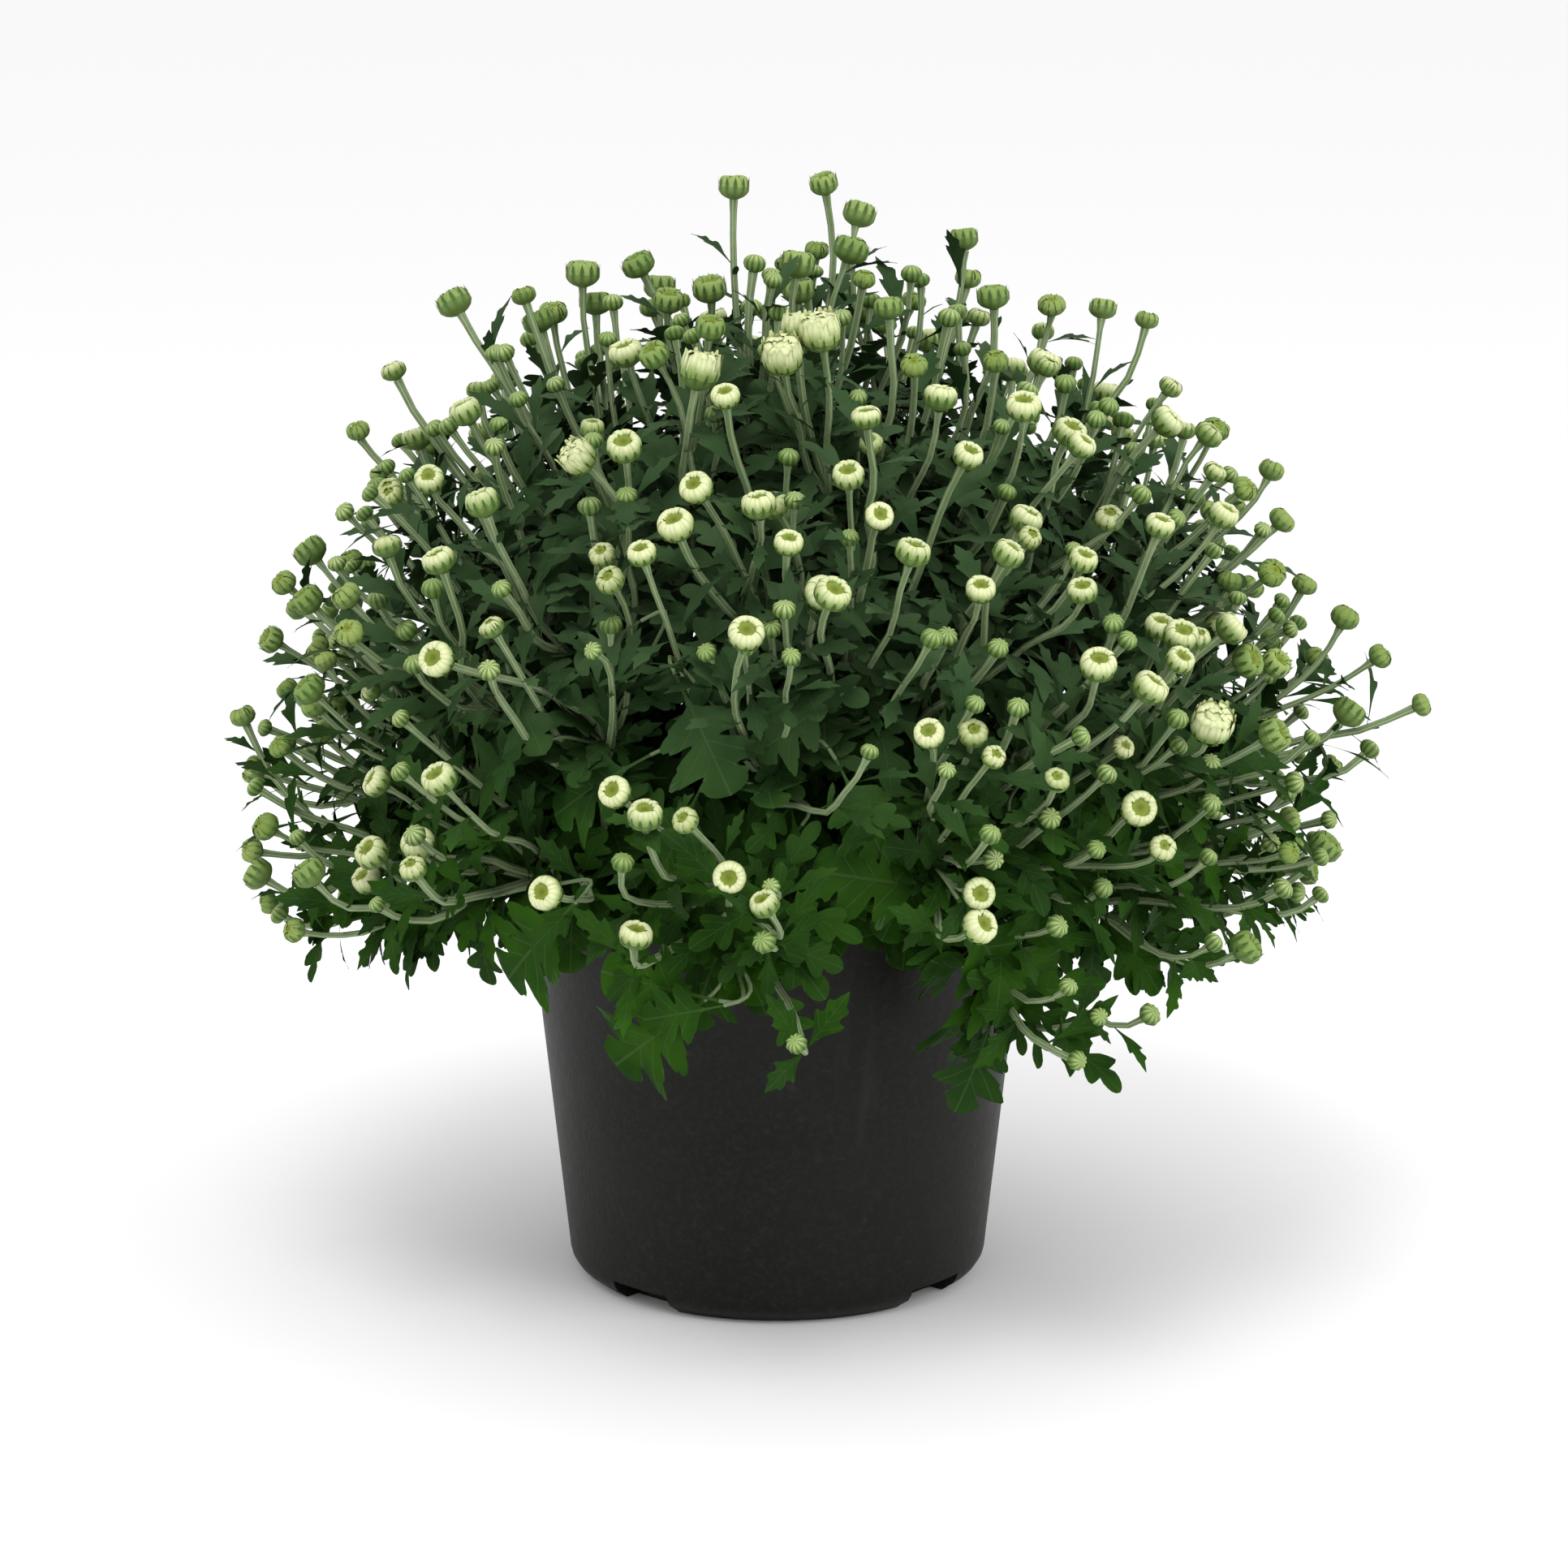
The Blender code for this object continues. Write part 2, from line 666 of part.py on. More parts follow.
def fused(body, joined):
    """One Boolean union of a stem's pieces."""
    join = body.modifiers.new("Join", "BOOLEAN")
    join.operation = "UNION"
    join.operand_type = "COLLECTION"
    join.collection = joined
    join.solver = "MANIFOLD"
    return applied(body, joined.objects)


def paint(obj, name, colour, roughness):
    material = bpy.data.materials.new(name)
    material.use_nodes = True
    shader = material.node_tree.nodes["Principled BSDF"]
    shader.inputs["Base Color"].default_value = (*colour, 1)
    shader.inputs["Roughness"].default_value = roughness
    obj.data.materials.append(material)


def make_stem(name, stem, joined, home):
    shoots = [shoot for shoot in stem.shoots if shoot.head.in_solid]
    base = mesh_piece(name, build_shoot(shoots[0]), home)
    paint(base, name + "_green", STEM_GREEN, 0.6)
    paint(base, name + "_cream", CREAM, 0.6)
    pieces = [mesh_piece("shoot", build_shoot(shoot), joined) for shoot in shoots[1:]]
    pieces += [mesh_piece("leaf", build_leaf(leaf), joined) for leaf in stem.leaves]
    for piece in pieces:
        for material in base.data.materials:
            piece.data.materials.append(material)
    return fused(base, joined)


# Pot and soil

def turned(name, profile, home):
    """A profile of (radius, height) points turned round the Z axis."""
    mesh = bpy.data.meshes.new(name)
    points = [(radius, 0, height) for radius, height in profile]
    mesh.from_pydata(points, [(k, k + 1) for k in range(len(points) - 1)], [])
    obj = bpy.data.objects.new(name, mesh)
    home.objects.link(obj)
    screw = obj.modifiers.new("Turn", "SCREW")
    screw.steps = ROUND_STEPS
    screw.render_steps = ROUND_STEPS
    screw.use_merge_vertices = True
    screw.merge_threshold = 0.0001
    return obj


def wall_radius(height):
    """Outer radius of the pot's wall."""
    share = (height - LOWER_EDGE_HEIGHT) / (POT_HEIGHT - LOWER_EDGE_HEIGHT)
    return WALL_FOOT_RADIUS + (WALL_TOP_RADIUS - WALL_FOOT_RADIUS) * share


def cut(obj, tool, cutters):
    cutters.objects.link(tool)
    tool.hide_render = True
    tool.display_type = "WIRE"
    modifier = obj.modifiers.new("Cut " + tool.name, "BOOLEAN")
    modifier.operation = "DIFFERENCE"
    modifier.object = tool
    modifier.solver = "EXACT"


def make_pot(home, cutters):
    lip_radius = WALL_TOP_RADIUS + LIP_OUT
    lip_foot = POT_HEIGHT - LIP_HEIGHT
    inner_foot = WALL_FOOT_RADIUS - WALL - 0.002
    profile = (
        (0, FLOOR), (inner_foot - 0.006, FLOOR), (inner_foot, LOWER_EDGE_HEIGHT + 0.002),
        (WALL_TOP_RADIUS - WALL, POT_HEIGHT), (lip_radius - 0.0006, POT_HEIGHT),
        (lip_radius, POT_HEIGHT - 0.001), (lip_radius, lip_foot), (wall_radius(lip_foot), lip_foot - 0.002),
        (WALL_FOOT_RADIUS, LOWER_EDGE_HEIGHT), (FOOT_RADIUS + 0.0055, LOWER_EDGE_HEIGHT / 2),
        (FOOT_RADIUS + 0.001, 0.001), (FOOT_RADIUS, 0), (0, 0),
    )
    pot = turned("pot", profile, home)
    paint(pot, "black_plastic", (0.018, 0.019, 0.018), 0.45)
    for k in range(NOTCH_COUNT):
        angle = NOTCH_FIRST_ANGLE + 2 * math.pi * k / NOTCH_COUNT
        bpy.ops.mesh.primitive_cube_add(size=1)
        tool = bpy.context.object
        tool.name = f"notch_{k + 1}"
        bpy.context.collection.objects.unlink(tool)
        tool.scale = (NOTCH_DEPTH * 2, NOTCH_WIDTH, NOTCH_HEIGHT * 2)
        tool.location = direction(angle, 0) * (FOOT_RADIUS + NOTCH_OUT)
        tool.rotation_euler.z = angle
        cut(pot, tool, cutters)
    return applied(pot, cutters.objects)


def make_soil(ways, home, cutters):
    profile = (
        (0, SOIL_TOP), (wall_radius(SOIL_TOP) - WALL - GAP, SOIL_TOP),
        (wall_radius(LOWER_EDGE_HEIGHT + 0.002) - WALL - 0.002 - GAP, LOWER_EDGE_HEIGHT + 0.002 + GAP),
        (FOOT_RADIUS - 0.003 - GAP, FLOOR + GAP), (0, FLOOR + GAP),
    )
    soil = turned("soil", profile, home)
    flat = soil.modifiers.new("One face for each flat end", "DECIMATE")
    flat.decimate_type = "DISSOLVE"
    flat.angle_limit = math.radians(1)
    paint(soil, "peat", (0.035, 0.024, 0.016), 0.95)
    for k, way in enumerate(ways):
        surface = (SOIL_TOP - APEX.z) / way.z
        bottom = APEX + way * (surface - BURIED - GAP)
        top = APEX + way * (surface + 0.014)
        bpy.ops.mesh.primitive_cylinder_add(
            vertices=HOLE_SIDES, radius=MAIN_RADIUS + HOLE_CLEARANCE, depth=(top - bottom).length
        )
        tool = bpy.context.object
        tool.name = f"stem_hole_{k + 1:02d}"
        bpy.context.collection.objects.unlink(tool)
        tool.location = (top + bottom) / 2
        tool.rotation_mode = "QUATERNION"
        tool.rotation_quaternion = way.to_track_quat("Z", "Y")
        cut(soil, tool, cutters)
    return applied(soil, cutters.objects)


def clear_scene():
    for obj in list(bpy.data.objects):
        bpy.data.objects.remove(obj)


def new_collection(name, parent):
    made = bpy.data.collections.new(name)
    parent.children.link(made)
    return made


def main():
    clear_scene()
    scene = bpy.context.scene
    home = new_collection("pot_chrysanthemum", scene.collection)
    cutters = new_collection("cutters", scene.collection)
    joined = new_collection("joined", scene.collection)
    ways = stem_directions()
    make_pot(home, cutters)
    make_soil(ways, home, cutters)
    for index, heads in enumerate(heads_by_stem(ways)):
        stem = grow_stem(index, ways, heads)
        make_stem(f"stem_{index + 1:02d}", stem, joined, home)
    for spent in (cutters, joined):
        bpy.data.collections.remove(spent)


main()
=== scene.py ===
import math
import random
from collections import namedtuple

import bpy
import numpy as np
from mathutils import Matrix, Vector
from mathutils.bvhtree import BVHTree

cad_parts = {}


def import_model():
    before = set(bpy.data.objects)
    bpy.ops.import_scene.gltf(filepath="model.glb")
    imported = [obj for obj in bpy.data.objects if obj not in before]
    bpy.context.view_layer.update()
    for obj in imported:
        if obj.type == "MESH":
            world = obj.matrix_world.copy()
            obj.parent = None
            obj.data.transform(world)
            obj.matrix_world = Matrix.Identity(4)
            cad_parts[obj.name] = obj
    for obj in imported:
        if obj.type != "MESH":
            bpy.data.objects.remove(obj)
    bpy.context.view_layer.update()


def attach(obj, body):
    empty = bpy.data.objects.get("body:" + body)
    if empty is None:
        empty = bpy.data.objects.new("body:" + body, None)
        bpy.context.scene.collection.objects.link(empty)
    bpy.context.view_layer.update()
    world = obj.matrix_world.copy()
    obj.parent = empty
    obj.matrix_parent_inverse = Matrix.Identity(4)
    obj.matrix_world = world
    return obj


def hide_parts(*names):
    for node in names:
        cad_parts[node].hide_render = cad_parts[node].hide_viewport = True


# Pot
POT_HEIGHT = 0.185
WALL_TOP_RADIUS = 0.1055
WALL_FOOT_RADIUS = 0.0867
LOWER_EDGE_HEIGHT = 0.008
FOOT_RADIUS = 0.0788
WALL = 0.0018
FLOOR = 0.003
LIP_OUT = 0.002
LIP_HEIGHT = 0.006
NOTCH_COUNT = 4
NOTCH_WIDTH = 0.029
NOTCH_HEIGHT = 0.009
NOTCH_DEPTH = 0.015
NOTCH_OUT = 0.007
NOTCH_FIRST_ANGLE = math.radians(-41)

# Soil
GAP = 0.0003
SOIL_TOP = 0.169
BURIED = 0.011

# The dome of heads, and the point below the soil that the stems fan out from
HEART = Vector((0.008, 0, 0.200))
DOME_RADIUS = 0.225
APEX = Vector((0, 0, 0.145))
CELL_GAP = 0.0005
# How a point is pulled into its stem's space: at most so often, and by so much more than it lacks
PULL_ROUNDS = 40
PULL_MORE = 1.02
PULL_LEAST = 1e-6
# Rings of stems: how many, height angle and the azimuth of the first, in degrees
STEM_RINGS = ((12, 26, -93), (5, 44, -72), (3, 68, -40), (1, 90, 0))
RIM_STEM_ANGLE = math.radians(30)

# Stems, side branches and flower stalks
MAIN_RADIUS = 0.0023
BRANCH_RADIUS = 0.0016
STALK_RADIUS = 0.0012
BRANCH_MARGIN = 0.0026
MAIN_LENGTH = 0.115
LONGEST_MAIN = MAIN_LENGTH * 1.15
RIM_CLEARANCE = 0.010
# Side branches leave this stretch of the main stem's upper half
BRANCH_STARTS = (0.55, 0.95)
BRANCH_STEPS = 2
STALK_STEPS = 2
# How far a stalk keeps the way it leaves, and comes in along its head's axis, as shares of its length
LEAVING_SHARE = 0.30
ARRIVING_SHARE = 0.36
# A side stalk leaves by this much towards its head and this much aside, in the branch's last stretch
STALK_AIM = 0.8
STALK_SPREAD = 0.35
ROOT_SPAN = 0.9
HUB_TAPER = 0.9
GROUP_SIZE = 6.6
STALK_LENGTH = 0.056
HUB_DROP = 0.010

# Heads: widths of a tight bud, a bud that shows its petals, a half-open button and a ragged open head
HEAD_WIDTHS = {"bud": 0.0082, "opening": 0.0104, "button": 0.0124, "ragged": 0.0158}
WIDTH_RANGE = (0.86, 1.14)
RULE_HEADS = 540
LOWEST_RULE_ANGLE = math.radians(-8)
HEAD_SPACING = 0.0138
# How far the rule's heads stray from their even places, in radians
HEIGHT_STRAY = 0.055
TURN_STRAY = 0.08
SEEN_REACH = (0.97, 1.01)
RULE_REACH = (0.87, 1.0)
BUTTON_SHARE = 0.11
OPENING_SHARE = 0.26
# The solids take the heads read off the front but for the small buds, the rule's buttons, and this
# share of its other heads at the back
BACK_BUD_SHARE = 0.10
# The leafy part of the front, across and up in metres, where the rule adds no heads
BARE_ACROSS = (-0.128, 0.062)
BARE_UP = (0.095, 0.238)
UPWARD_PULL = 0.75
HEAD_WOBBLE = 0.60
HEAD_ROOM = 0.62
GROUPING_ROUNDS = 4
# How much of its width in the solids a button fills
BUTTON_FILL = 0.99

# Leaves
LEAF_LENGTH = 0.046
LEAF_SLIMNESS = 0.82
# Half of the blade's edge, and its rib: how far along and to the side, as shares of length and width
LEAF_EDGE = ((0.0, 0.025), (0.30, 0.05), (0.40, 0.42), (0.52, 0.20), (0.72, 0.50), (0.80, 0.20))
LEAF_RIB = (0.42, 0.74)
LEAF_NOTCH = 3
# Places along the rib that have to be clear, beside those on the edge
RIB_MARKS = (0.3, 0.5, 0.65, 0.8)
SAG_ALONG = 0.20
SAG_ACROSS = 0.25
# How far along the main stem its own leaves grow, and along its branch each branch's leaf
MAIN_LEAF_SHARES = (0.62, 0.95)
BRANCH_LEAF_SPAN = (0.35, 0.62)
BRANCH_LEAF_SIZES = (0.75, 1)
# How a leaf lies: shares of its shoot's way, of outward, sideways and down, and how far its face tips up
SPREAD_ONWARD = (0, 0.6)
SPREAD_FACE_UP = (0, 0.5)
HANG_OUT = (0.3, 0.9)
HANG_ASIDE = (-0.9, 0.9)
HANG_DOWN = (0.05, 0.6)
HANG_FACE_UP = (0.3, 0.9)
LEAF_TRIES = 200
SMALLEST_LEAF = 0.6
LEAF_ROOM = 0.0016
LEAF_POT_GAP = 0.003
FREE_BLADE = 0.3

GOLDEN_ANGLE = math.pi * (3 - math.sqrt(5))
SMOOTH_ANGLE = math.radians(35)

# The eye that the front was looked at from, and its level line through the plant
SIGHT_PITCH = math.radians(13)
SIGHT_DISTANCE = 2.0
SIGHT_TARGET = Vector((0.0027, 0, 0.2047))
SIGHT_BASE_UP = 0.195
SIGHT_VIEW = Vector((0, math.cos(SIGHT_PITCH), -math.sin(SIGHT_PITCH)))
SIGHT_RISE = Vector((0, math.sin(SIGHT_PITCH), math.cos(SIGHT_PITCH)))

# Heads read off the front, in millimetres across and up from the middle of the pot's foot
SEEN_RAGGED = ((9, 375), (19, 373), (3, 364), (-33, 357), (-77, 325), (177, 214))
SEEN_BUTTONS = (
    (-18, 435), (32, 424), (-58, 403), (-80, 399), (-130, 388), (77, 414), (127, 389), (20, 437),
    (-20, 354), (-48, 367), (-20, 380), (28, 409), (46, 386), (89, 390),
    (66, 347), (101, 345), (37, 341), (122, 330), (76, 326), (-54, 335), (-129, 339),
    (-142, 317), (-31, 313), (-7, 304), (41, 303), (-119, 305), (4, 290), (54, 285),
    (21, 269), (-137, 282), (-57, 289), (92, 285), (124, 283), (127, 268), (150, 299),
    (83, 271), (180, 304), (131, 239), (159, 242), (150, 230), (59, 219), (-13, 253),
    (-137, 245), (199, 212), (147, 184), (-71, 190), (-54, 177), (-19, 157), (-92, 149),
    (-136, 193), (-3, 142), (-209, 155), (-189, 154), (188, 125), (-59, 128),
)
SEEN_OPENING = (
    (-103, 392), (-156, 361), (-173, 335), (-200, 275), (-218, 219), (-195, 134), (-148, 157),
    (151, 382), (159, 355), (174, 335), (201, 320), (231, 259), (244, 245), (261, 226), (87, 204),
    (114, 194), (157, 167), (-36, 178),
)
SEEN_BUDS = ((-176, 305), (241, 207), (222, 149), (151, 99), (131, 99), (121, 82), (-4, 129), (9, 87))
# Buds that the solids leave out
SMALL_BUDS = (
    (-73, 249), (6, 246), (37, 206), (79, 227), (69, 199), (-118, 240), (-2, 152), (86, 172), (1, 262),
    (62, 252), (-64, 160), (142, 252), (136, 261), (-14, 250), (98, 224), (122, 213),
)
SEED = 11

Head = namedtuple("Head", "place facing width stage in_solid")
Shoot = namedtuple("Shoot", "points before bends head")
Leaf = namedtuple("Leaf", "root along face length width")
Stem = namedtuple("Stem", "shoots leaves walls")

UP = Vector((0, 0, 1))


# Growth: directions and places

def direction(azimuth, height_angle):
    level = math.cos(height_angle)
    return Vector((level * math.cos(azimuth), level * math.sin(azimuth), math.sin(height_angle)))


def stem_directions():
    found = []
    for count, height_angle, first in STEM_RINGS:
        for k in range(count):
            azimuth = math.radians(first + 360 * k / count)
            found.append(direction(azimuth, math.radians(height_angle)))
    return found


def cell_walls(directions, index):
    """Normals of the planes through APEX that part one stem's space from the others'."""
    own = directions[index]
    return [(own - other).normalized() for other in directions if other is not own]


def pulled_in(point, walls, margin):
    """The point, moved as little as it takes to lie this far inside its stem's space."""
    moved = point.copy()
    for _ in range(PULL_ROUNDS):
        nearest = min(walls, key=lambda wall: (moved - APEX).dot(wall))
        short = margin - (moved - APEX).dot(nearest)
        if short <= 0:
            break
        moved += nearest * (short * PULL_MORE + PULL_LEAST)
    return moved


def is_inside(point, walls, margin=CELL_GAP):
    return all((point - APEX).dot(wall) >= margin for wall in walls)


def clears_pot(point, gap):
    """Whether a point is above the rim, outside the lip, or over the soil in the pot's mouth."""
    across = math.hypot(point.x, point.y)
    if point.z >= POT_HEIGHT + gap or across >= WALL_TOP_RADIUS + LIP_OUT + gap:
        return True
    return across <= WALL_TOP_RADIUS - WALL - gap and point.z >= SOIL_TOP + gap


def curve_place(bend, t):
    """A place on the curve from start to end that leaves towards lead and comes from arrive."""
    start, lead, arrive, end = bend
    s = 1 - t
    return start * s**3 + lead * 3 * s * s * t + arrive * 3 * s * t * t + end * t**3


def curve_points(bend, steps):
    return [curve_place(bend, k / steps) for k in range(steps + 1)]


def square_to(way, turn):
    """A direction square to a way, turned round it."""
    side = way.orthogonal().normalized()
    return side * math.cos(turn) + way.cross(side) * math.sin(turn)


# Growth: heads

def sight_point(across, up, reach):
    """Where the line of sight through a place on the front view meets the dome."""
    eye = SIGHT_TARGET - SIGHT_VIEW * SIGHT_DISTANCE
    aim = SIGHT_TARGET + SIGHT_RISE * (up / 1000 - SIGHT_BASE_UP)
    aim.x = across / 1000
    ray = (aim - eye).normalized()
    nearest = eye + ray * (HEART - eye).dot(ray)
    off = (nearest - HEART).length
    return nearest - ray * math.sqrt(max(reach * reach - off * off, 0))


def new_head(place, stage, in_solid, rng):
    wobble = Vector((rng.uniform(-1, 1), rng.uniform(-1, 1), rng.uniform(-1, 1)))
    outward = (place - HEART).normalized()
    facing = (outward + UP * UPWARD_PULL + wobble * HEAD_WOBBLE).normalized()
    return Head(place, facing, HEAD_WIDTHS[stage] * rng.uniform(*WIDTH_RANGE), stage, in_solid)


def seen_heads(rng):
    found = []
    for stage, places in (
        ("ragged", SEEN_RAGGED), ("button", SEEN_BUTTONS), ("opening", SEEN_OPENING),
        ("bud", SEEN_BUDS), ("bud", SMALL_BUDS),
    ):
        for across, up in places:
            reach = DOME_RADIUS * rng.uniform(*SEEN_REACH)
            found.append(new_head(sight_point(across, up, reach), stage, places is not SMALL_BUDS, rng))
    return found


def in_bare_front(place):
    """Whether a place on the front half is seen in its leafy part."""
    up = SIGHT_RISE.dot(place - SIGHT_TARGET) + SIGHT_BASE_UP
    across = BARE_ACROSS[0] < place.x < BARE_ACROSS[1]
    return place.y < 0 and across and BARE_UP[0] < up < BARE_UP[1]


def drawn_stage(rng):
    draw = rng.random()
    if draw < BUTTON_SHARE:
        return "button"
    return "opening" if draw < BUTTON_SHARE + OPENING_SHARE else "bud"


def rule_heads(taken, rng):
    """Heads spread evenly over the dome by the golden angle, in the room between those taken."""
    found = list(taken)
    lowest = math.sin(LOWEST_RULE_ANGLE)
    for k in range(RULE_HEADS):
        rise = lowest + (1 - lowest) * (k + 0.5) / RULE_HEADS
        height_angle = math.asin(rise) + rng.gauss(0, HEIGHT_STRAY)
        azimuth = k * GOLDEN_ANGLE + rng.gauss(0, TURN_STRAY)
        reach = DOME_RADIUS * rng.uniform(*RULE_REACH)
        stage = drawn_stage(rng)
        outward = direction(azimuth, height_angle)
        in_solid = stage == "button" or (outward.y > 0 and rng.random() < BACK_BUD_SHARE)
        head = new_head(HEART + outward * reach, stage, in_solid, rng)
        has_room = all((head.place - other.place).length > HEAD_SPACING for other in found)
        if has_room and not in_bare_front(head.place):
            found.append(head)
    return found


def owner(place, directions):
    """The index of the stem whose space a place lies in."""
    outward = (place - APEX).normalized()
    return max(range(len(directions)), key=lambda k: outward.dot(directions[k]))


def heads_by_stem(directions):
    """Every head with the stem whose space it lies in."""
    rng = random.Random(SEED)
    heads = rule_heads(seen_heads(rng), rng)
    owned = [[] for _ in directions]
    for head in heads:
        owned[owner(head.place, directions)].append(head)
    return owned


def groups_of(heads):
    """Heads gathered round the ones that lie farthest apart, about GROUP_SIZE to a group."""
    if not heads:
        return []
    count = max(1, round(len(heads) / GROUP_SIZE))
    centres = [heads[0].place]
    while len(centres) < count:
        centres.append(max((h.place for h in heads), key=lambda p: min((p - c).length for c in centres)))
    for _ in range(GROUPING_ROUNDS):
        groups = [[] for _ in centres]
        for head in heads:
            nearest = min(range(len(centres)), key=lambda k: (head.place - centres[k]).length)
            groups[nearest].append(head)
        groups = [group for group in groups if group]
        centres = [sum((h.place for h in group), Vector()) / len(group) for group in groups]
    return groups


# Growth: one leafy stem

def main_points(way):
    """The main stem's line, from its foot in the soil past the rim or into the middle of the bush."""
    level = math.hypot(way.x, way.y)
    past_rim = (WALL_TOP_RADIUS + LIP_OUT + RIM_CLEARANCE) / max(level, 0.01)
    start = (SOIL_TOP - APEX.z) / way.z - BURIED
    end = min(max(past_rim, MAIN_LENGTH), LONGEST_MAIN)
    return [APEX + way * start, APEX + way * (start + end) / 2, APEX + way * end]


def hub_of(middle, walls):
    """The place where a group's flower stalks part, a stalk's length under its heads."""
    inward = (APEX - middle).normalized()
    return pulled_in(middle + inward * STALK_LENGTH - UP * HUB_DROP, walls, BRANCH_MARGIN)


def branch_bend(start, way, hub, middle, walls):
    """The four points that bend a side branch from the main stem to its hub."""
    length = (hub - start).length
    lead = pulled_in(start + way * length * LEAVING_SHARE, walls, BRANCH_MARGIN)
    arrive = pulled_in(hub - (middle - hub).normalized() * length * LEAVING_SHARE, walls, BRANCH_MARGIN)
    return start, lead, arrive, hub


def stalk_bend(root, leaving, head, walls):
    """The four points that bend a flower stalk from the way it leaves until it meets its head square on."""
    length = (head.place - root).length
    lead = pulled_in(root + leaving * length * LEAVING_SHARE, walls, BRANCH_MARGIN)
    arrive = pulled_in(head.place - head.facing * length * ARRIVING_SHARE, walls, BRANCH_MARGIN)
    return root, lead, arrive, head.place


def side_way(root, onward, head):
    """The way that a side stalk leaves its branch: towards its head, but clear of the branch at once."""
    towards = (head.place - root).normalized()
    aside = (towards - onward * towards.dot(onward)).normalized()
    return towards * STALK_AIM + aside * STALK_SPREAD


def leader_shoot(leader, before, bend, walls):
    """The shoot that runs on past the hub to its group's middle head; a stem's first starts in the soil."""
    branch = curve_points(bend, BRANCH_STEPS)
    onward = (branch[-1] - branch[-2]).normalized()
    stalk = stalk_bend(branch[-1], onward, leader, walls)
    points = before[:-1] + branch + curve_points(stalk, STALK_STEPS)[1:]
    return Shoot(points, before, [bend, stalk], leader)


def group_shoots(group, before, start, way, walls):
    """A group's leader, and for each other head a stalk that roots in the branch's last stretch."""
    middle = sum((head.place for head in group), Vector()) / len(group)
    hub = hub_of(middle, walls)
    bend = branch_bend(start, way, hub, middle, walls)
    branch = curve_points(bend, BRANCH_STEPS)
    onward = (branch[-1] - branch[-2]).normalized()
    ranked = sorted(group, key=lambda head: (not head.in_solid, (head.place - middle).length))
    shoots = [leader_shoot(ranked[0]._replace(in_solid=True), before, bend, walls)]
    widest_first = sorted(ranked[1:], key=lambda head: onward.dot((head.place - hub).normalized()))
    for k, head in enumerate(widest_first):
        back = ROOT_SPAN * (1 - k / len(group))
        root = branch[-1].lerp(branch[-2], back)
        stalk = stalk_bend(root, side_way(root, onward, head), head, walls)
        fine_root = curve_place(bend, 1 - back / BRANCH_STEPS)
        shoots.append(Shoot(curve_points(stalk, STALK_STEPS), [], [(fine_root, *stalk[1:])], head))
    return shoots


def leaf_frame(leaf):
    along = leaf.along.normalized()
    side = leaf.face.cross(along).normalized()
    return along, side, along.cross(side)


def leaf_spot(leaf, ahead, across, lift=0.0):
    """A place on a leaf's blade, which sags towards its tip and its sides."""
    along, side, face = leaf_frame(leaf)
    sag = leaf.length * SAG_ALONG * ahead * ahead + leaf.width * SAG_ACROSS * across * across
    return leaf.root + along * ahead * leaf.length + side * across * leaf.width + face * (lift - sag)


def leaf_edge(leaf):
    """The blade's whole edge, from one side of its foot round the tip to the other."""
    left = [leaf_spot(leaf, ahead, across) for ahead, across in LEAF_EDGE]
    right = [leaf_spot(leaf, ahead, -across) for ahead, across in LEAF_EDGE]
    return left + [leaf_spot(leaf, 1, 0)] + right[::-1]


def blade_triangles(edge, near, far):
    """A blade's triangles from its edge to the two points of its rib."""
    first, last = LEAF_NOTCH, len(edge) - 1 - LEAF_NOTCH
    found = [(edge[first], near, far), (edge[last], near, far)]
    for k in range(len(edge)):
        found.append((edge[k], edge[(k + 1) % len(edge)], far if first <= k < last else near))
    return found


def tree_of(triangles):
    points = [point for triangle in triangles for point in triangle]
    return BVHTree.FromPolygons(points, [(k, k + 1, k + 2) for k in range(0, len(points), 3)])


def blade_tree(leaf, beyond):
    """The part of a blade that lies beyond a share of its length."""
    near, far = (leaf_spot(leaf, ahead, 0) for ahead in LEAF_RIB)
    along = leaf_frame(leaf)[0]
    triangles = blade_triangles(leaf_edge(leaf), near, far)
    limit = beyond * leaf.length
    return tree_of([t for t in triangles if sum((p - leaf.root).dot(along) for p in t) / 3 >= limit])


def shoot_tree(shoots):
    """Crossed ribbons along the shoots, a little wider than they are."""
    triangles = []
    for shoot in shoots:
        for a, b in zip(shoot.points, shoot.points[1:]):
            side = (b - a).orthogonal().normalized()
            for wide in (side, side.cross((b - a).normalized())):
                reach = wide * (STALK_RADIUS + LEAF_ROOM)
                triangles += [(a - reach, a + reach, b - reach), (a + reach, b + reach, b - reach)]
    return tree_of(triangles)


def leaf_fits(leaf, walls, taken, leaf_trees, margin=CELL_GAP * 3):
    marks = leaf_edge(leaf)[2:-2]
    marks += [leaf_spot(leaf, ahead, 0) for ahead in RIB_MARKS]
    marks += [marks[k].lerp(marks[k + 1], 0.5) for k in range(len(marks) - 1)]
    if not all(is_inside(mark, walls, margin) and clears_pot(mark, LEAF_POT_GAP) for mark in marks):
        return False
    if blade_tree(leaf, FREE_BLADE).overlap(taken):
        return False
    whole = blade_tree(leaf, 0)
    return not any(whole.overlap(other) for other in leaf_trees)


def spread_pose(root, rng):
    """Direction and face of a leaf that spreads sideways from its shoot and faces out of the bush."""
    way = (root - APEX).normalized()
    spread = square_to(way, rng.uniform(0, 2 * math.pi))
    return spread + way * rng.uniform(*SPREAD_ONWARD), way + UP * rng.uniform(*SPREAD_FACE_UP)


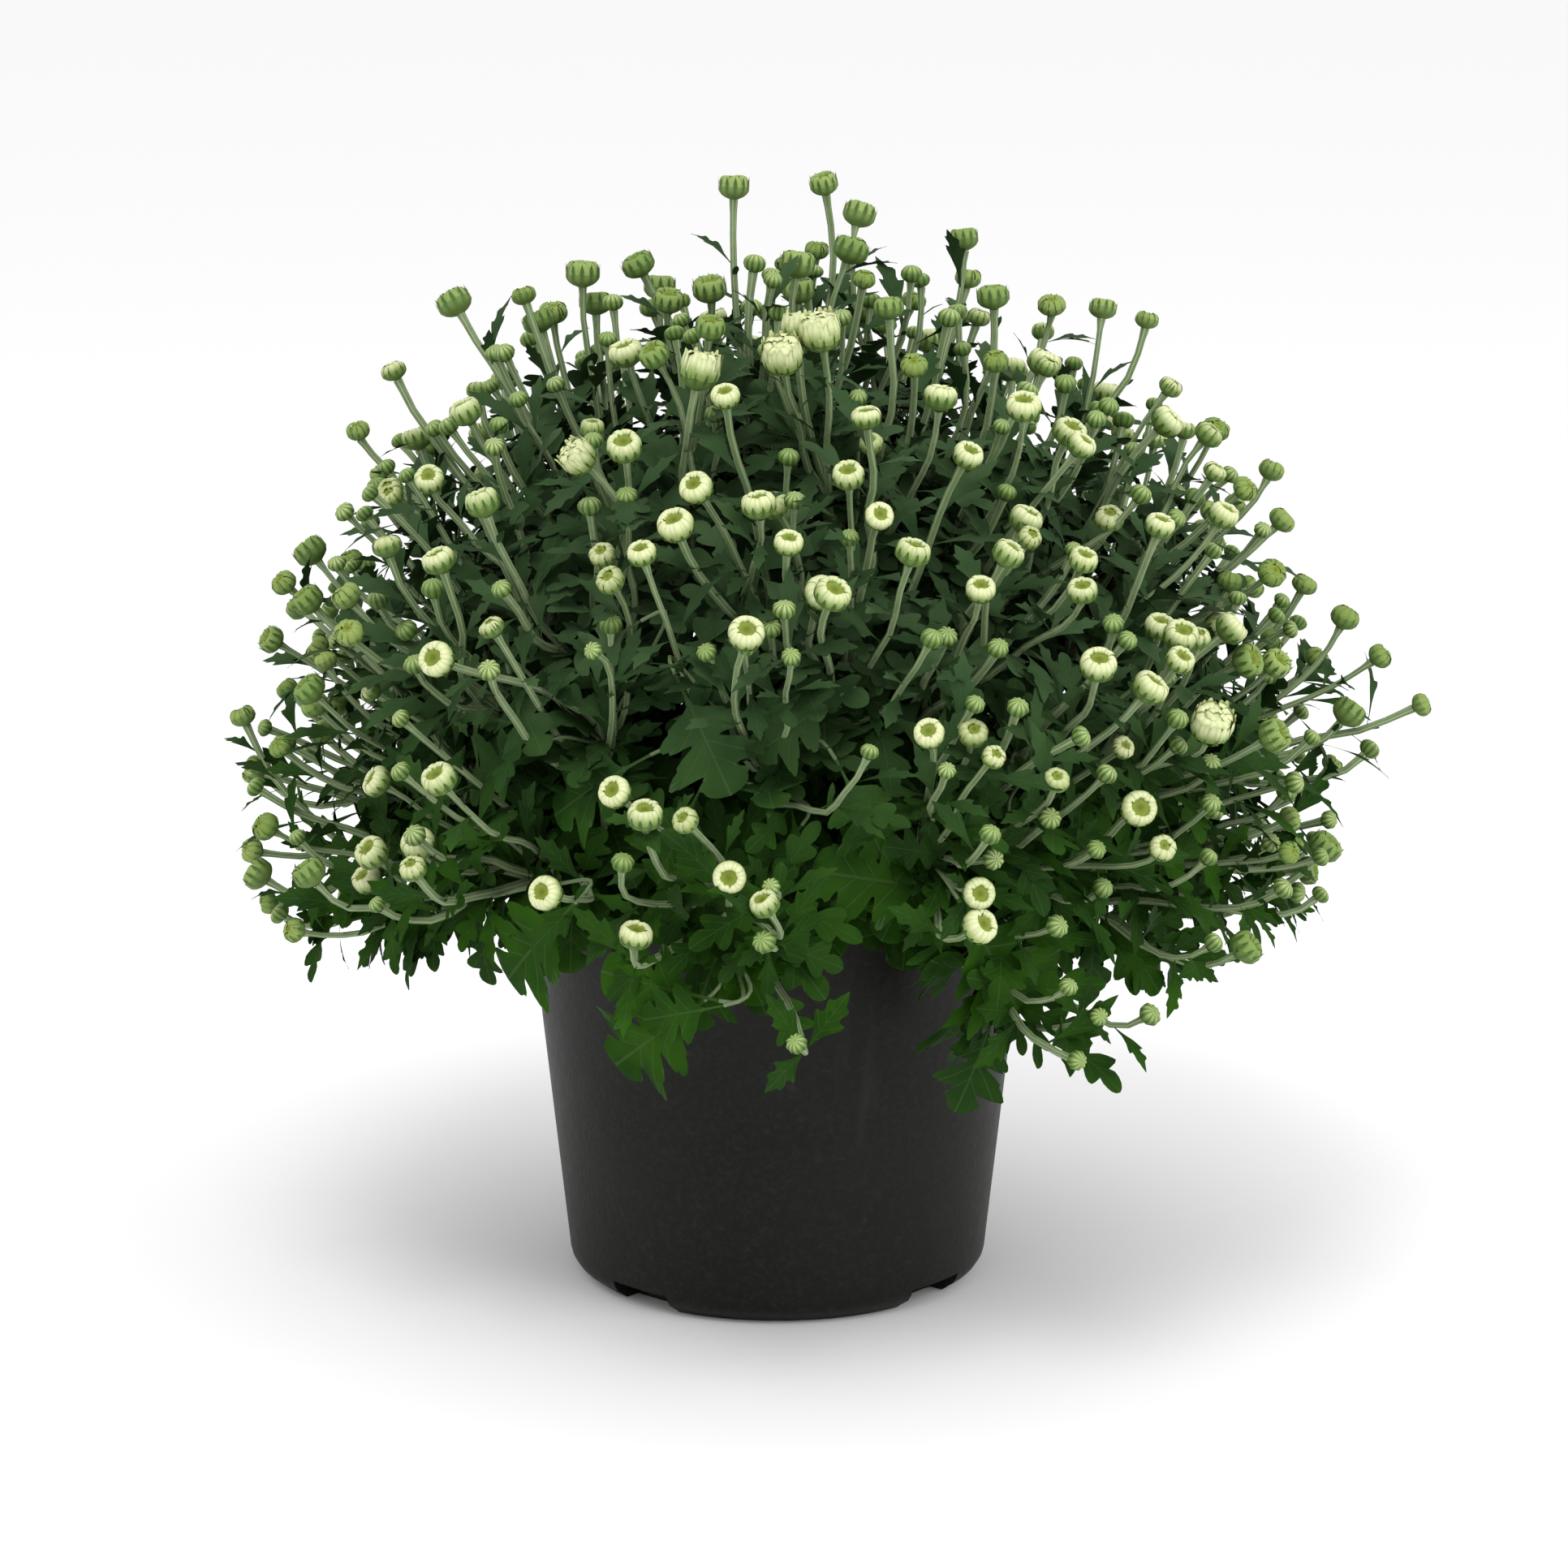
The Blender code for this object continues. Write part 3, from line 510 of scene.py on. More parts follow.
def hanging_pose(root, rng):
    """Direction and face of a leaf that hangs over the pot's rim."""
    level = Vector((root.x, root.y, 0)).normalized()
    side = UP.cross(level)
    along = level * rng.uniform(*HANG_OUT) + side * rng.uniform(*HANG_ASIDE) - UP * rng.uniform(*HANG_DOWN)
    return along, level + UP * rng.uniform(*HANG_FACE_UP)


def fitted_leaf(root, pose, length, walls, taken, leaf_trees, rng):
    """The first leaf of many tried, each somewhat smaller than the last, that has room."""
    for k in range(LEAF_TRIES):
        own_length = length * (1 - (1 - SMALLEST_LEAF) * k / LEAF_TRIES)
        along, face = pose(root, rng)
        leaf = Leaf(root, along.normalized(), face, own_length, own_length * LEAF_SLIMNESS)
        if leaf_fits(leaf, walls, taken, leaf_trees):
            return leaf
    return None


def on_branch(shoot, share):
    """A place on a leader's branch, by its share of the way to the hub."""
    hub, middle, start = (shoot.points[-k - STALK_STEPS] for k in (1, 2, 3))
    if share < 0.5:
        return start.lerp(middle, share * 2)
    return middle.lerp(hub, share * 2 - 1)


def leaf_orders(shoots, way, rng):
    """Where a stem's leaves grow, how they lie and how long they are."""
    main = shoots[0].points
    over_rim = way.z < math.sin(RIM_STEM_ANGLE)
    orders = []
    for share, pose in zip(MAIN_LEAF_SHARES, (spread_pose, hanging_pose if over_rim else spread_pose)):
        orders.append((main[0].lerp(main[2], share), pose, LEAF_LENGTH))
    for shoot in shoots:
        if len(shoot.bends) > 1:
            root = on_branch(shoot, rng.uniform(*BRANCH_LEAF_SPAN))
            orders.append((root, spread_pose, LEAF_LENGTH * rng.uniform(*BRANCH_LEAF_SIZES)))
    return orders


def grow_leaves(shoots, way, walls, rng):
    taken = shoot_tree(shoots)
    found, leaf_trees = [], []
    for root, pose, length in leaf_orders(shoots, way, rng):
        leaf = fitted_leaf(root, pose, length, walls, taken, leaf_trees, rng)
        if leaf:
            found.append(leaf)
            leaf_trees.append(blade_tree(leaf, 0))
    return found


def grow_stem(index, directions, heads):
    rng = random.Random(SEED * 1000 + index)
    way = directions[index]
    walls = cell_walls(directions, index)
    main = main_points(way)
    placed = []
    for head in heads:
        margin = head.width * HEAD_ROOM + CELL_GAP * 2
        placed.append(head._replace(place=pulled_in(head.place, walls, margin)))
    shoots = []
    for k, group in enumerate(groups_of(placed)):
        if k == 0:
            shoots += group_shoots(group, main, main[-1], way, walls)
        else:
            start = main[-2].lerp(main[-1], rng.uniform(*BRANCH_STARTS))
            shoots += group_shoots(group, [], start, way, walls)
    in_solids = [shoot for shoot in shoots if shoot.head.in_solid]
    return Stem(shoots, grow_leaves(in_solids, way, walls, rng), walls)


# Fine form: gathering meshes

class Gathered:
    """Many small meshes in one: faces of three or four points, and values at each point."""

    def __init__(self):
        self.points = []
        self.values = []
        self.faces = {3: [], 4: []}
        self.count = 0

    def add(self, points, values, faces):
        self.points.append(points)
        self.values.append(values)
        for block in faces:
            self.faces[block.shape[1]].append(block + self.count)
        self.count += len(points)

    def to_object(self, name, names, material):
        """One object whose points carry the values by name."""
        values = np.concatenate(self.values)
        faces = [face for blocks in self.faces.values() for block in blocks for face in block.tolist()]
        mesh = bpy.data.meshes.new(name)
        mesh.from_pydata(np.concatenate(self.points).tolist(), [], faces)
        mesh.shade_smooth()
        for k, own in enumerate(names):
            layer = mesh.attributes.new(own, "FLOAT", "POINT")
            layer.data.foreach_set("value", np.ascontiguousarray(values[:, k], dtype=np.float32))
        mesh.materials.append(material)
        return linked(name, mesh)


def linked(name, data):
    """A new object of the scene that shows this data."""
    obj = bpy.data.objects.new(name, data)
    bpy.context.scene.collection.objects.link(obj)
    return obj


def shade_smooth(mesh):
    """Shades a mesh smooth but for its sharp edges."""
    mesh.shade_smooth()
    mesh.set_sharp_from_angle(angle=SMOOTH_ANGLE)


def grid_faces(rows, columns, closed=False):
    """Faces of four between rows of points, each row closed into a ring or left open."""
    found = []
    for row in range(rows - 1):
        for column in range(columns if closed else columns - 1):
            after = (column + 1) % columns
            low, high = row * columns, (row + 1) * columns
            found.append((low + column, low + after, high + after, high + column))
    return np.array(found, dtype=np.int64)


def at_angle(radius, angle, height):
    return radius * math.cos(angle), radius * math.sin(angle), height


# Fine form: stems, branches and stalks

TUBE_SIDES = 8
# Any direction that no shoot grows in, to start each tube's sides from
FIRST_SIDE = Vector((0.31, 0.52, 0.79))
MAIN_STEPS = 6
BEND_STEPS = 9
STALK_FOOT = 0.0014
STALK_NECK = 0.0011
# The neck widens into its head from this share of its last step, by the first and then the second share
SWELL_START = 0.6
SWELLS = (1.1, 1.3)
LEAST_SWELLING = 0.0018
STOUTNESS = (0.95, 1.35)
WANDER = (0.0005, 0.0020)
WANDER_WAVES = 3.7
# Shoots are fresh from this far out
FRESH_REACH = DOME_RADIUS * 1.1


def wandering(bend, steps, rng):
    """Points along a bend that stray a little to one side and back, but not at its ends."""
    way = (bend[3] - bend[0]).normalized()
    turn = rng.uniform(0, 2 * math.pi)
    stray = square_to(way, turn) * rng.uniform(*WANDER)
    found = []
    for k in range(steps + 1):
        t = k / steps
        wave = math.sin(WANDER_WAVES * math.pi * t + turn)
        found.append(curve_place(bend, t) + stray * math.sin(math.pi * t) * wave)
    return found


def shoot_line(shoot, rng):
    """A shoot's fine centre line and radii: the straight main stem if it has one, then its bends."""
    line, radii = [], []
    if shoot.before:
        for k in range(MAIN_STEPS):
            t = k / MAIN_STEPS
            line.append(shoot.before[0].lerp(shoot.before[-1], t))
            radii.append(MAIN_RADIUS + (BRANCH_RADIUS - MAIN_RADIUS) * t)
    for bend in shoot.bends[:-1]:
        line += wandering(bend, BEND_STEPS, rng)[:-1]
        radii += [BRANCH_RADIUS * (1 - (1 - HUB_TAPER) * k / BEND_STEPS) for k in range(BEND_STEPS)]
    line += wandering(shoot.bends[-1], BEND_STEPS, rng)
    stout = rng.uniform(*STOUTNESS)
    for k in range(BEND_STEPS):
        radii.append(stout * (STALK_FOOT + (STALK_NECK - STALK_FOOT) * k / BEND_STEPS))
    line.insert(-1, line[-2].lerp(line[-1], SWELL_START))
    radii += [STALK_NECK * stout * SWELLS[0], max(LEAST_SWELLING, STALK_NECK * stout * SWELLS[1])]
    return line, radii


def tube(gathered, line, radii, ages, tone, sides=TUBE_SIDES):
    """A round tube along a line; its turn value climbs to a half and falls again round it."""
    side = FIRST_SIDE
    points, values = [], []
    for k, centre in enumerate(line):
        axis = (line[min(k + 1, len(line) - 1)] - line[max(k - 1, 0)]).normalized()
        side = (side - axis * side.dot(axis)).normalized()
        other = axis.cross(side)
        for j in range(sides):
            angle = 2 * math.pi * j / sides
            points.append(centre + (side * math.cos(angle) + other * math.sin(angle)) * radii[k])
            values.append((ages[k], min(j, sides - j) / sides, tone))
    gathered.add(np.array(points), np.array(values), [grid_faces(len(line), sides, True)])


def draw_shoots(stem, gathered, rng):
    for shoot in stem.shoots:
        line, radii = shoot_line(shoot, rng)
        ages = [max(0.0, 1 - (point - APEX).length / FRESH_REACH) for point in line]
        tube(gathered, line, radii, ages, rng.random())


# Fine form: leaves

# Half of a lobed blade's edge, with the teeth on its rounded lobes
LOBED_EDGE = (
    (0.0, 0.018), (0.10, 0.014), (0.20, 0.018), (0.26, 0.035), (0.285, 0.09), (0.30, 0.20), (0.315, 0.27),
    (0.34, 0.28), (0.355, 0.34), (0.38, 0.39), (0.41, 0.41), (0.44, 0.39), (0.452, 0.34), (0.475, 0.345),
    (0.495, 0.28), (0.51, 0.18), (0.525, 0.13), (0.54, 0.15), (0.56, 0.26), (0.585, 0.34), (0.61, 0.345),
    (0.625, 0.40), (0.655, 0.455), (0.69, 0.485), (0.715, 0.47), (0.73, 0.41), (0.745, 0.39), (0.76, 0.30),
    (0.77, 0.20), (0.785, 0.13), (0.805, 0.16), (0.83, 0.225), (0.86, 0.245), (0.88, 0.215), (0.905, 0.21),
    (0.94, 0.19), (0.965, 0.15), (0.988, 0.09), (1.0, 0.004),
)
# Half of a small lobed leaf's edge
UPPER_EDGE = (
    (0.0, 0.03), (0.12, 0.025), (0.22, 0.05), (0.29, 0.22), (0.33, 0.34), (0.38, 0.39), (0.43, 0.37),
    (0.47, 0.24), (0.52, 0.14), (0.56, 0.30), (0.60, 0.41), (0.65, 0.46), (0.70, 0.45), (0.74, 0.36),
    (0.765, 0.17), (0.82, 0.22), (0.88, 0.22), (0.94, 0.18), (0.983, 0.10), (1.0, 0.01),
)
# Half of a small upper leaf's edge: narrow, with a pair of short lobes
LANCE_EDGE = (
    (0.0, 0.03), (0.15, 0.05), (0.30, 0.13), (0.42, 0.30), (0.50, 0.46), (0.56, 0.50), (0.60, 0.30),
    (0.66, 0.27), (0.74, 0.36), (0.79, 0.34), (0.83, 0.20), (0.92, 0.12), (1.0, 0.01),
)
# Half of a tiny leaf's edge on a flower stalk
STRAP_EDGE = ((0.0, 0.16), (0.25, 0.36), (0.55, 0.46), (0.82, 0.30), (1.0, 0.03))
WIDE_COLUMNS = (-1, -0.55, 0, 0.55, 1)
SLIM_COLUMNS = (-1, 0, 1)
# The faces of a leaf that are drawn: the upper one alone, or the lower one too
UPPER_FACE = (0,)
BOTH_FACES = (0, 1)
BLADE_THICKNESS = 0.0005
# How far the lobes point forward, as a share of how far they stick out
LOBE_SWEEP = 0.24
# Waves of the edge: how fast they run along and across the blade, and their height
EDGE_WAVES = ((15, 0, 0.09), (31, 9, 0.035))
CROSS_WAVE = (5, 0.02)
FOLD = 0.16
FACE_UP = 0.35

# Lobed leaves that are added to those of the solids, all along the shoots and over the rim
EXTRA_TRIES = 12
EXTRA_STEP = 0.0075
EXTRA_MARGIN = -0.010
EXTRA_LENGTHS = (0.034, 0.048)
EXTRA_SHRINK = 0.3
EXTRA_SPREAD = (0.7, 1.5)
EXTRA_STRAY = 0.15
# The main stem has no such leaves on this first share of it
BARE_MAIN = 0.2
# How far before and after a place its way is read, as a share of a branch or of a stalk
BRANCH_LOOK = 0.05
STALK_LOOK = 0.02
RIM_LEAVES = 5
RIM_LENGTHS = (0.038, 0.050)
RIM_START = 0.80
RIM_SPAN = 0.20
LOBED_CURLS = (0.6, 1.8)

# Small leaves of a flower stalk: how many, on what stretch of it, how far they spread, how long and how
# wide they are, their edge and how far they curl
SmallLeaf = namedtuple("SmallLeaf", "counts span spread lengths slimness edge curl")
UPPER_LENGTHS = (0.025, 0.040)
HUB_LEAF = SmallLeaf((4,), (0.8, 1), (0.7, 1.3), UPPER_LENGTHS, (0.5, 0.7), UPPER_EDGE, 1.4)
UPPER_LEAF = SmallLeaf((2, 2, 3), (0.02, 0.60), (0.5, 1.15), UPPER_LENGTHS, (0.34, 0.58), UPPER_EDGE, 1.6)
LANCE_LEAF = SmallLeaf((4, 4, 5), (0.12, 0.86), (0.45, 1.1), (0.019, 0.034), (0.26, 0.42), LANCE_EDGE, 1.5)
STRAP_LEAF = SmallLeaf((0, 1, 1), (0.5, 0.92), (0.4, 0.8), (0.007, 0.012), (0.26, 0.36), STRAP_EDGE, 1.2)
# Stalks that end above this height carry more of the small lobed leaves
HIGH = 0.335
HIGH_LEAVES = 2

# Large leaves read off the front: root and tip as across and up, and the share of the dome's radius
SEEN_LEAVES = (
    ((72, 150), (22, 159), 0.80), ((74, 148), (102, 103), 0.84), ((24, 205), (43, 169), 0.80),
    ((-42, 240), (-22, 197), 0.84), ((26, 231), (-6, 211), 0.82), ((-83, 146), (-113, 117), 0.86),
    ((-52, 207), (-91, 186), 0.78), ((-24, 106), (-69, 116), 0.90), ((-22, 104), (-53, 98), 0.93),
    ((-30, 106), (-66, 80), 0.88), ((70, 146), (66, 117), 0.76),
    ((-110, 240), (-100, 212), 0.84), ((10, 178), (-14, 150), 0.74), ((-56, 262), (-82, 246), 0.86),
    ((-96, 212), (-128, 196), 0.80), ((96, 176), (104, 140), 0.80), ((-30, 196), (-50, 158), 0.74),
)
SEEN_STRETCH = 1.12
SEEN_SLIMNESS = 0.86
SEEN_FACE_UP = 0.3
SEEN_DARKEST = 0.5
SEEN_CURL = 0.8
PETIOLE_RADIUS = 0.0008
PETIOLE_STEPS = 10
PETIOLE_SIDES = 6
PETIOLE_AGE = 0.5


def blade(gathered, leaf, edge, columns, tone, rng, curl, sides=UPPER_FACE):
    """A thin leaf, waved and arched, with the sides asked for."""
    along, side, face = (np.array(v) for v in leaf_frame(leaf))
    ahead = np.outer([spot[0] for spot in edge], np.ones(len(columns)))
    across = np.outer([spot[1] for spot in edge], columns)
    out = np.abs(across)
    phases = [rng.uniform(0, 2 * math.pi) for _ in range(3)]
    wave = np.zeros_like(across)
    for (rate_ahead, rate_across, high), phase in zip(EDGE_WAVES, phases):
        wave += np.sin(ahead * rate_ahead + across * rate_across + phase) * out * high
    wave += np.sin(across * CROSS_WAVE[0] + phases[2]) * CROSS_WAVE[1] * ahead
    sag = leaf.length * SAG_ALONG * curl * ahead**2 + leaf.width * SAG_ACROSS * across**2
    lift = (wave + out * FOLD) * leaf.width - sag
    forward = (ahead + LOBE_SWEEP * out * (1 - ahead**4)) * leaf.length
    centre = np.array(leaf.root) + along * forward[..., None] + side * (across * leaf.width)[..., None]
    inner = 1 - np.abs(np.array(columns)) ** 4
    faces = grid_faces(len(edge), len(columns))
    everywhere = np.ones_like(across)
    for under in sides:
        points = centre + face * (lift + (0.5 - under) * BLADE_THICKNESS * inner)[..., None]
        values = np.stack([ahead, across, everywhere * tone, everywhere * under], -1)
        gathered.add(points.reshape(-1, 3), values.reshape(-1, 4), [faces if under else faces[:, ::-1]])


def shoot_places(shoot):
    """Places with their directions along a leader's main stem and branch, a leaf's step apart."""
    parts = []
    if shoot.before:
        start, end = shoot.before[0], shoot.before[-1]
        parts.append((lambda t: start.lerp(end, t), (end - start).length, BARE_MAIN))
    bend = shoot.bends[0]
    parts.append((lambda t: curve_place(bend, t), (bend[3] - bend[0]).length, 0.0))
    found = []
    for place, length, first in parts:
        count = max(2, round(length * (1 - first) / EXTRA_STEP))
        for k in range(count):
            t = first + (1 - first) * (k + 0.5) / count
            way = place(min(t + BRANCH_LOOK, 1)) - place(t - BRANCH_LOOK)
            found.append((place(t), way.normalized()))
    return found


def growing_pose(way, turn, spread):
    """A leaf's direction and face as it leaves a shoot that grows this way."""
    along = square_to(way, turn) * math.sin(spread) + way * math.cos(spread)
    return along.normalized(), (way - along * way.dot(along) + UP * FACE_UP).normalized()


def rim_leaves(stem, rng):
    """Leaves that hang over the rim from the outer end of a low stem."""
    found = []
    main = stem.shoots[0].before
    if (main[-1] - main[0]).normalized().z > math.sin(RIM_STEM_ANGLE):
        return found
    for k in range(RIM_LEAVES):
        place = main[0].lerp(main[-1], RIM_START + RIM_SPAN * k / RIM_LEAVES)
        for _ in range(EXTRA_TRIES * 3):
            along, face = hanging_pose(place, rng)
            length = rng.uniform(*RIM_LENGTHS)
            leaf = Leaf(place, along.normalized(), face, length, length * LEAF_SLIMNESS)
            if all(clears_pot(mark, LEAF_POT_GAP) for mark in leaf_edge(leaf)[2:-2]):
                found.append(leaf)
                break
    return found


def extra_leaves(stem, rng):
    """Lobed leaves all along the main stem and the branches, each where there is room for it."""
    found = []
    trees = [blade_tree(leaf, 0) for leaf in stem.leaves]
    taken = shoot_tree(stem.shoots)
    for shoot in leaders(stem):
        turn = rng.uniform(0, 2 * math.pi)
        for place, way in shoot_places(shoot):
            turn += GOLDEN_ANGLE
            for k in range(EXTRA_TRIES):
                own_turn = turn + rng.gauss(0, EXTRA_STRAY + EXTRA_STRAY * k)
                along, face = growing_pose(way, own_turn, rng.uniform(*EXTRA_SPREAD))
                length = rng.uniform(*EXTRA_LENGTHS) * (1 - EXTRA_SHRINK * k / EXTRA_TRIES)
                leaf = Leaf(place, along, face, length, length * LEAF_SLIMNESS)
                if leaf_fits(leaf, stem.walls, taken, trees, EXTRA_MARGIN):
                    found.append(leaf)
                    trees.append(blade_tree(leaf, 0))
                    break
    return found


def leaders(stem):
    """The shoots that have a branch of their own below their flower stalk."""
    return [shoot for shoot in stem.shoots if len(shoot.bends) > 1]


def seen_leaves(index, ways):
    """The large leaves read off the front that belong to a stem."""
    found = []
    for root, tip, share in SEEN_LEAVES:
        foot, end = (sight_point(*place, DOME_RADIUS * share) for place in (root, tip))
        if index == owner(foot, ways):
            face = (foot - HEART).normalized() + UP * SEEN_FACE_UP
            length = (end - foot).length * SEEN_STRETCH
            found.append(Leaf(foot, (end - foot).normalized(), face, length, length * SEEN_SLIMNESS))
    return found


def draw_seen_leaves(stem, own, leaves, stalks, rng):
    """The large leaves, each on a thin stalk from the nearest place on its stem's shoots."""
    places = [place for shoot in leaders(stem) for place, _ in shoot_places(shoot)]
    for leaf in own:
        tone = rng.random() * SEEN_DARKEST
        blade(leaves, leaf, LOBED_EDGE, WIDE_COLUMNS, tone, rng, SEEN_CURL, BOTH_FACES)
        start = min(places, key=lambda place: (place - leaf.root).length)
        arrive = leaf.root - leaf.along * (leaf.root - start).length * 0.5
        line = curve_points((start, start.lerp(leaf.root, 0.5), arrive, leaf.root), PETIOLE_STEPS)
        radii, ages = [PETIOLE_RADIUS] * len(line), [PETIOLE_AGE] * len(line)
        tube(stalks, line, radii, ages, rng.random(), PETIOLE_SIDES)


def small_leaf(bend, kind, turn, rng):
    """A small leaf somewhere in its kind's stretch of a flower stalk."""
    t = rng.uniform(*kind.span)
    way = (curve_place(bend, t + STALK_LOOK) - curve_place(bend, t - STALK_LOOK)).normalized()
    along, face = growing_pose(way, turn, rng.uniform(*kind.spread))
    length = rng.uniform(*kind.lengths)
    return Leaf(curve_place(bend, t), along, face, length, length * rng.uniform(*kind.slimness))


def draw_small_leaves(gathered, bend, kind, count, turn, rng):
    """Small leaves, each turned on from the last by the golden angle; gives the last one's turn."""
    for _ in range(count):
        turn += GOLDEN_ANGLE
        leaf = small_leaf(bend, kind, turn, rng)
        blade(gathered, leaf, kind.edge, SLIM_COLUMNS, rng.random(), rng, kind.curl)
    return turn


def draw_leaves(stem, gathered, rng):
    outer = stem.leaves + rim_leaves(stem, rng)
    for k, leaf in enumerate(outer + extra_leaves(stem, rng)):
        sides = BOTH_FACES if k < len(outer) else UPPER_FACE
        tone, curl = rng.random(), rng.uniform(*LOBED_CURLS)
        blade(gathered, leaf, LOBED_EDGE, WIDE_COLUMNS, tone, rng, curl, sides)
    for shoot in stem.shoots:
        turn = rng.uniform(0, 2 * math.pi)
        if len(shoot.bends) > 1:
            turn = draw_small_leaves(gathered, shoot.bends[0], HUB_LEAF, HUB_LEAF.counts[0], turn, rng)
        more = HIGH_LEAVES if shoot.head.place.z > HIGH else 0
        for kind, added in ((UPPER_LEAF, more), (LANCE_LEAF, 0), (STRAP_LEAF, 0)):
            count = rng.choice(kind.counts) + added
            turn = draw_small_leaves(gathered, shoot.bends[-1], kind, count, turn, rng)


# Fine form: heads, each drawn once for a width of one and then copied

HEAD_VALUES = ("up", "crest", "tone", "kind")
# What a point's kind says: a bud or a cup among green parts, cream petals or a green pit among the others
BUD_KIND = 0.0
CUP_KIND = 1.0
CREAM_KIND = 0.0
HALF_KIND = 0.22
PIT_KIND = 1.0

# A bud's heights, radii and how deep its grooves are
BUD_PROFILE = (
    (0.0, 0.13, 0.0), (0.04, 0.29, 0.03), (0.14, 0.42, 0.05), (0.30, 0.50, 0.08), (0.47, 0.49, 0.11),
    (0.61, 0.40, 0.16), (0.70, 0.26, 0.22), (0.735, 0.12, 0.18), (0.72, 0.02, 0.0),
)
BUD_RIBS = 10
BUD_UNEVEN = 0.30
BUD_TALLNESS = (0.92, 1.10)
BUD_SWELLS = (0.97, 1.03)

CUP_BRACTS = 11
CUP_ROWS = 6
CUP_FOOT = 0.12
# How high a cup reaches between its bract tips, as a share of their height
CUP_LOW = 0.55
# The height at which a cup is at its widest, and the one above which its tips bend in
CUP_WIDEST = 0.32
CUP_BEND = 0.40
CUP_ROUNDNESS = 0.75
# How wide a cup is at its tips and between them
TIP_WIDTH = 1.015
GAP_WIDTH = 0.99
# Cups: how high they reach, how wide they are and how far their tips bend in
OPENING_CUP_TOP = 0.64
OPENING_CUP_RISE = 0.03
OPENING_CUP_WIDTH = 0.505
OPENING_CUP_BEND = 1.6
BUTTON_CUP_WIDTH = 0.514
RAGGED_CUP = (0.42, 0.462)
# How high the bracts reach up a button: the last for heads that are seen from the side
BUTTON_CUPS = (0.44, 0.52, 0.60, 0.74)
# How ripe the petals of each variant are: the less, the higher up they are green
RIPENESS = (1.0, 1.0, 0.85, 0.50)
# Heads above this height, or this far out to a side, show their cups
SKYLINE = 0.385
FLANK = 0.165
SQUASH = (0.92, 1.06)

# A ring of petals: each petal's radii, heights and half widths, how many, the first one's angle, how far
# they stray in and out, their kind, how far their heights stray, and how green their inner ends are
# (their own green, with painted shade in the pit)
Ring = namedtuple("Ring", "profile count first offset kind jitter end_up")
BUTTON_RING = Ring((
    (0.22, 0.05, 0.05), (0.39, 0.16, 0.088), (0.475, 0.30, 0.108), (0.50, 0.45, 0.114), (0.475, 0.59, 0.110),
    (0.41, 0.70, 0.096), (0.33, 0.745, 0.076), (0.26, 0.71, 0.058), (0.225, 0.62, 0.046),
), 18, 0, 0.005, CREAM_KIND, 0.025, 0.50)
OPENING_RING = Ring((
    (0.26, 0.10, 0.06), (0.42, 0.24, 0.130), (0.475, 0.40, 0.160), (0.46, 0.54, 0.155), (0.37, 0.66, 0.132),
    (0.25, 0.715, 0.098), (0.17, 0.66, 0.066),
), 10, 0.13, 0.012, HALF_KIND, 0.04, 0.50)
RAGGED_RINGS = (
    Ring((
        (0.20, 0.06, 0.05), (0.35, 0.17, 0.090), (0.44, 0.32, 0.105), (0.465, 0.48, 0.105),
        (0.45, 0.62, 0.092), (0.425, 0.74, 0.064), (0.43, 0.83, 0.030),
    ), 22, 0, 0.009, CREAM_KIND, 0.13, 1.0),
    Ring((
        (0.30, 0.45, 0.09), (0.40, 0.62, 0.11), (0.37, 0.76, 0.108), (0.26, 0.82, 0.088),
        (0.20, 0.79, 0.050),
    ), 14, 0.1, 0.02, CREAM_KIND, 0.05, 1.0),
    Ring((
        (0.15, 0.62, 0.08), (0.20, 0.76, 0.10), (0.15, 0.825, 0.08), (0.07, 0.81, 0.035),
    ), 8, 0.3, 0.01, CREAM_KIND, 0.04, 1.0),
)
PETAL_TURN = 0.12
PETAL_BULGE = 0.007
# How far petals end before or past their ring
PETAL_END_STRAY = 0.035
# The cushions in the middle of heads: radius, height, how far they bulge, and kind
OPENING_DISC = (0.18, 0.65, 0.01, PIT_KIND)
BUTTON_DISC = (0.27, 0.635, -0.006, PIT_KIND)
RAGGED_DISC = (0.38, 0.70, 0.08, CREAM_KIND)
DISC_COLUMNS = 16
DISC_RINGS = (0.35, 0.7, 1.0)
DISC_BUMP = 0.004


def bud_form(rng):
    """A tight bud: green bracts that meet at the top in soft, uneven ribs."""
    tall = rng.uniform(*BUD_TALLNESS)
    columns = BUD_RIBS * 2
    turns = [rng.uniform(-BUD_UNEVEN, BUD_UNEVEN) for _ in range(columns)]
    swells = [rng.uniform(*BUD_SWELLS) for _ in range(columns)]
    points, marks = [], []
    for height, radius, groove in BUD_PROFILE:
        for k in range(columns):
            ridge = k % 2
            own = radius * swells[k] * (1 - groove * (1 - ridge))
            points.append(at_angle(own, 2 * math.pi * (k + turns[k]) / columns, height * tall))
            marks.append((height, ridge, BUD_KIND))
    return np.array(points), np.array(marks), [grid_faces(len(BUD_PROFILE), columns, True)]


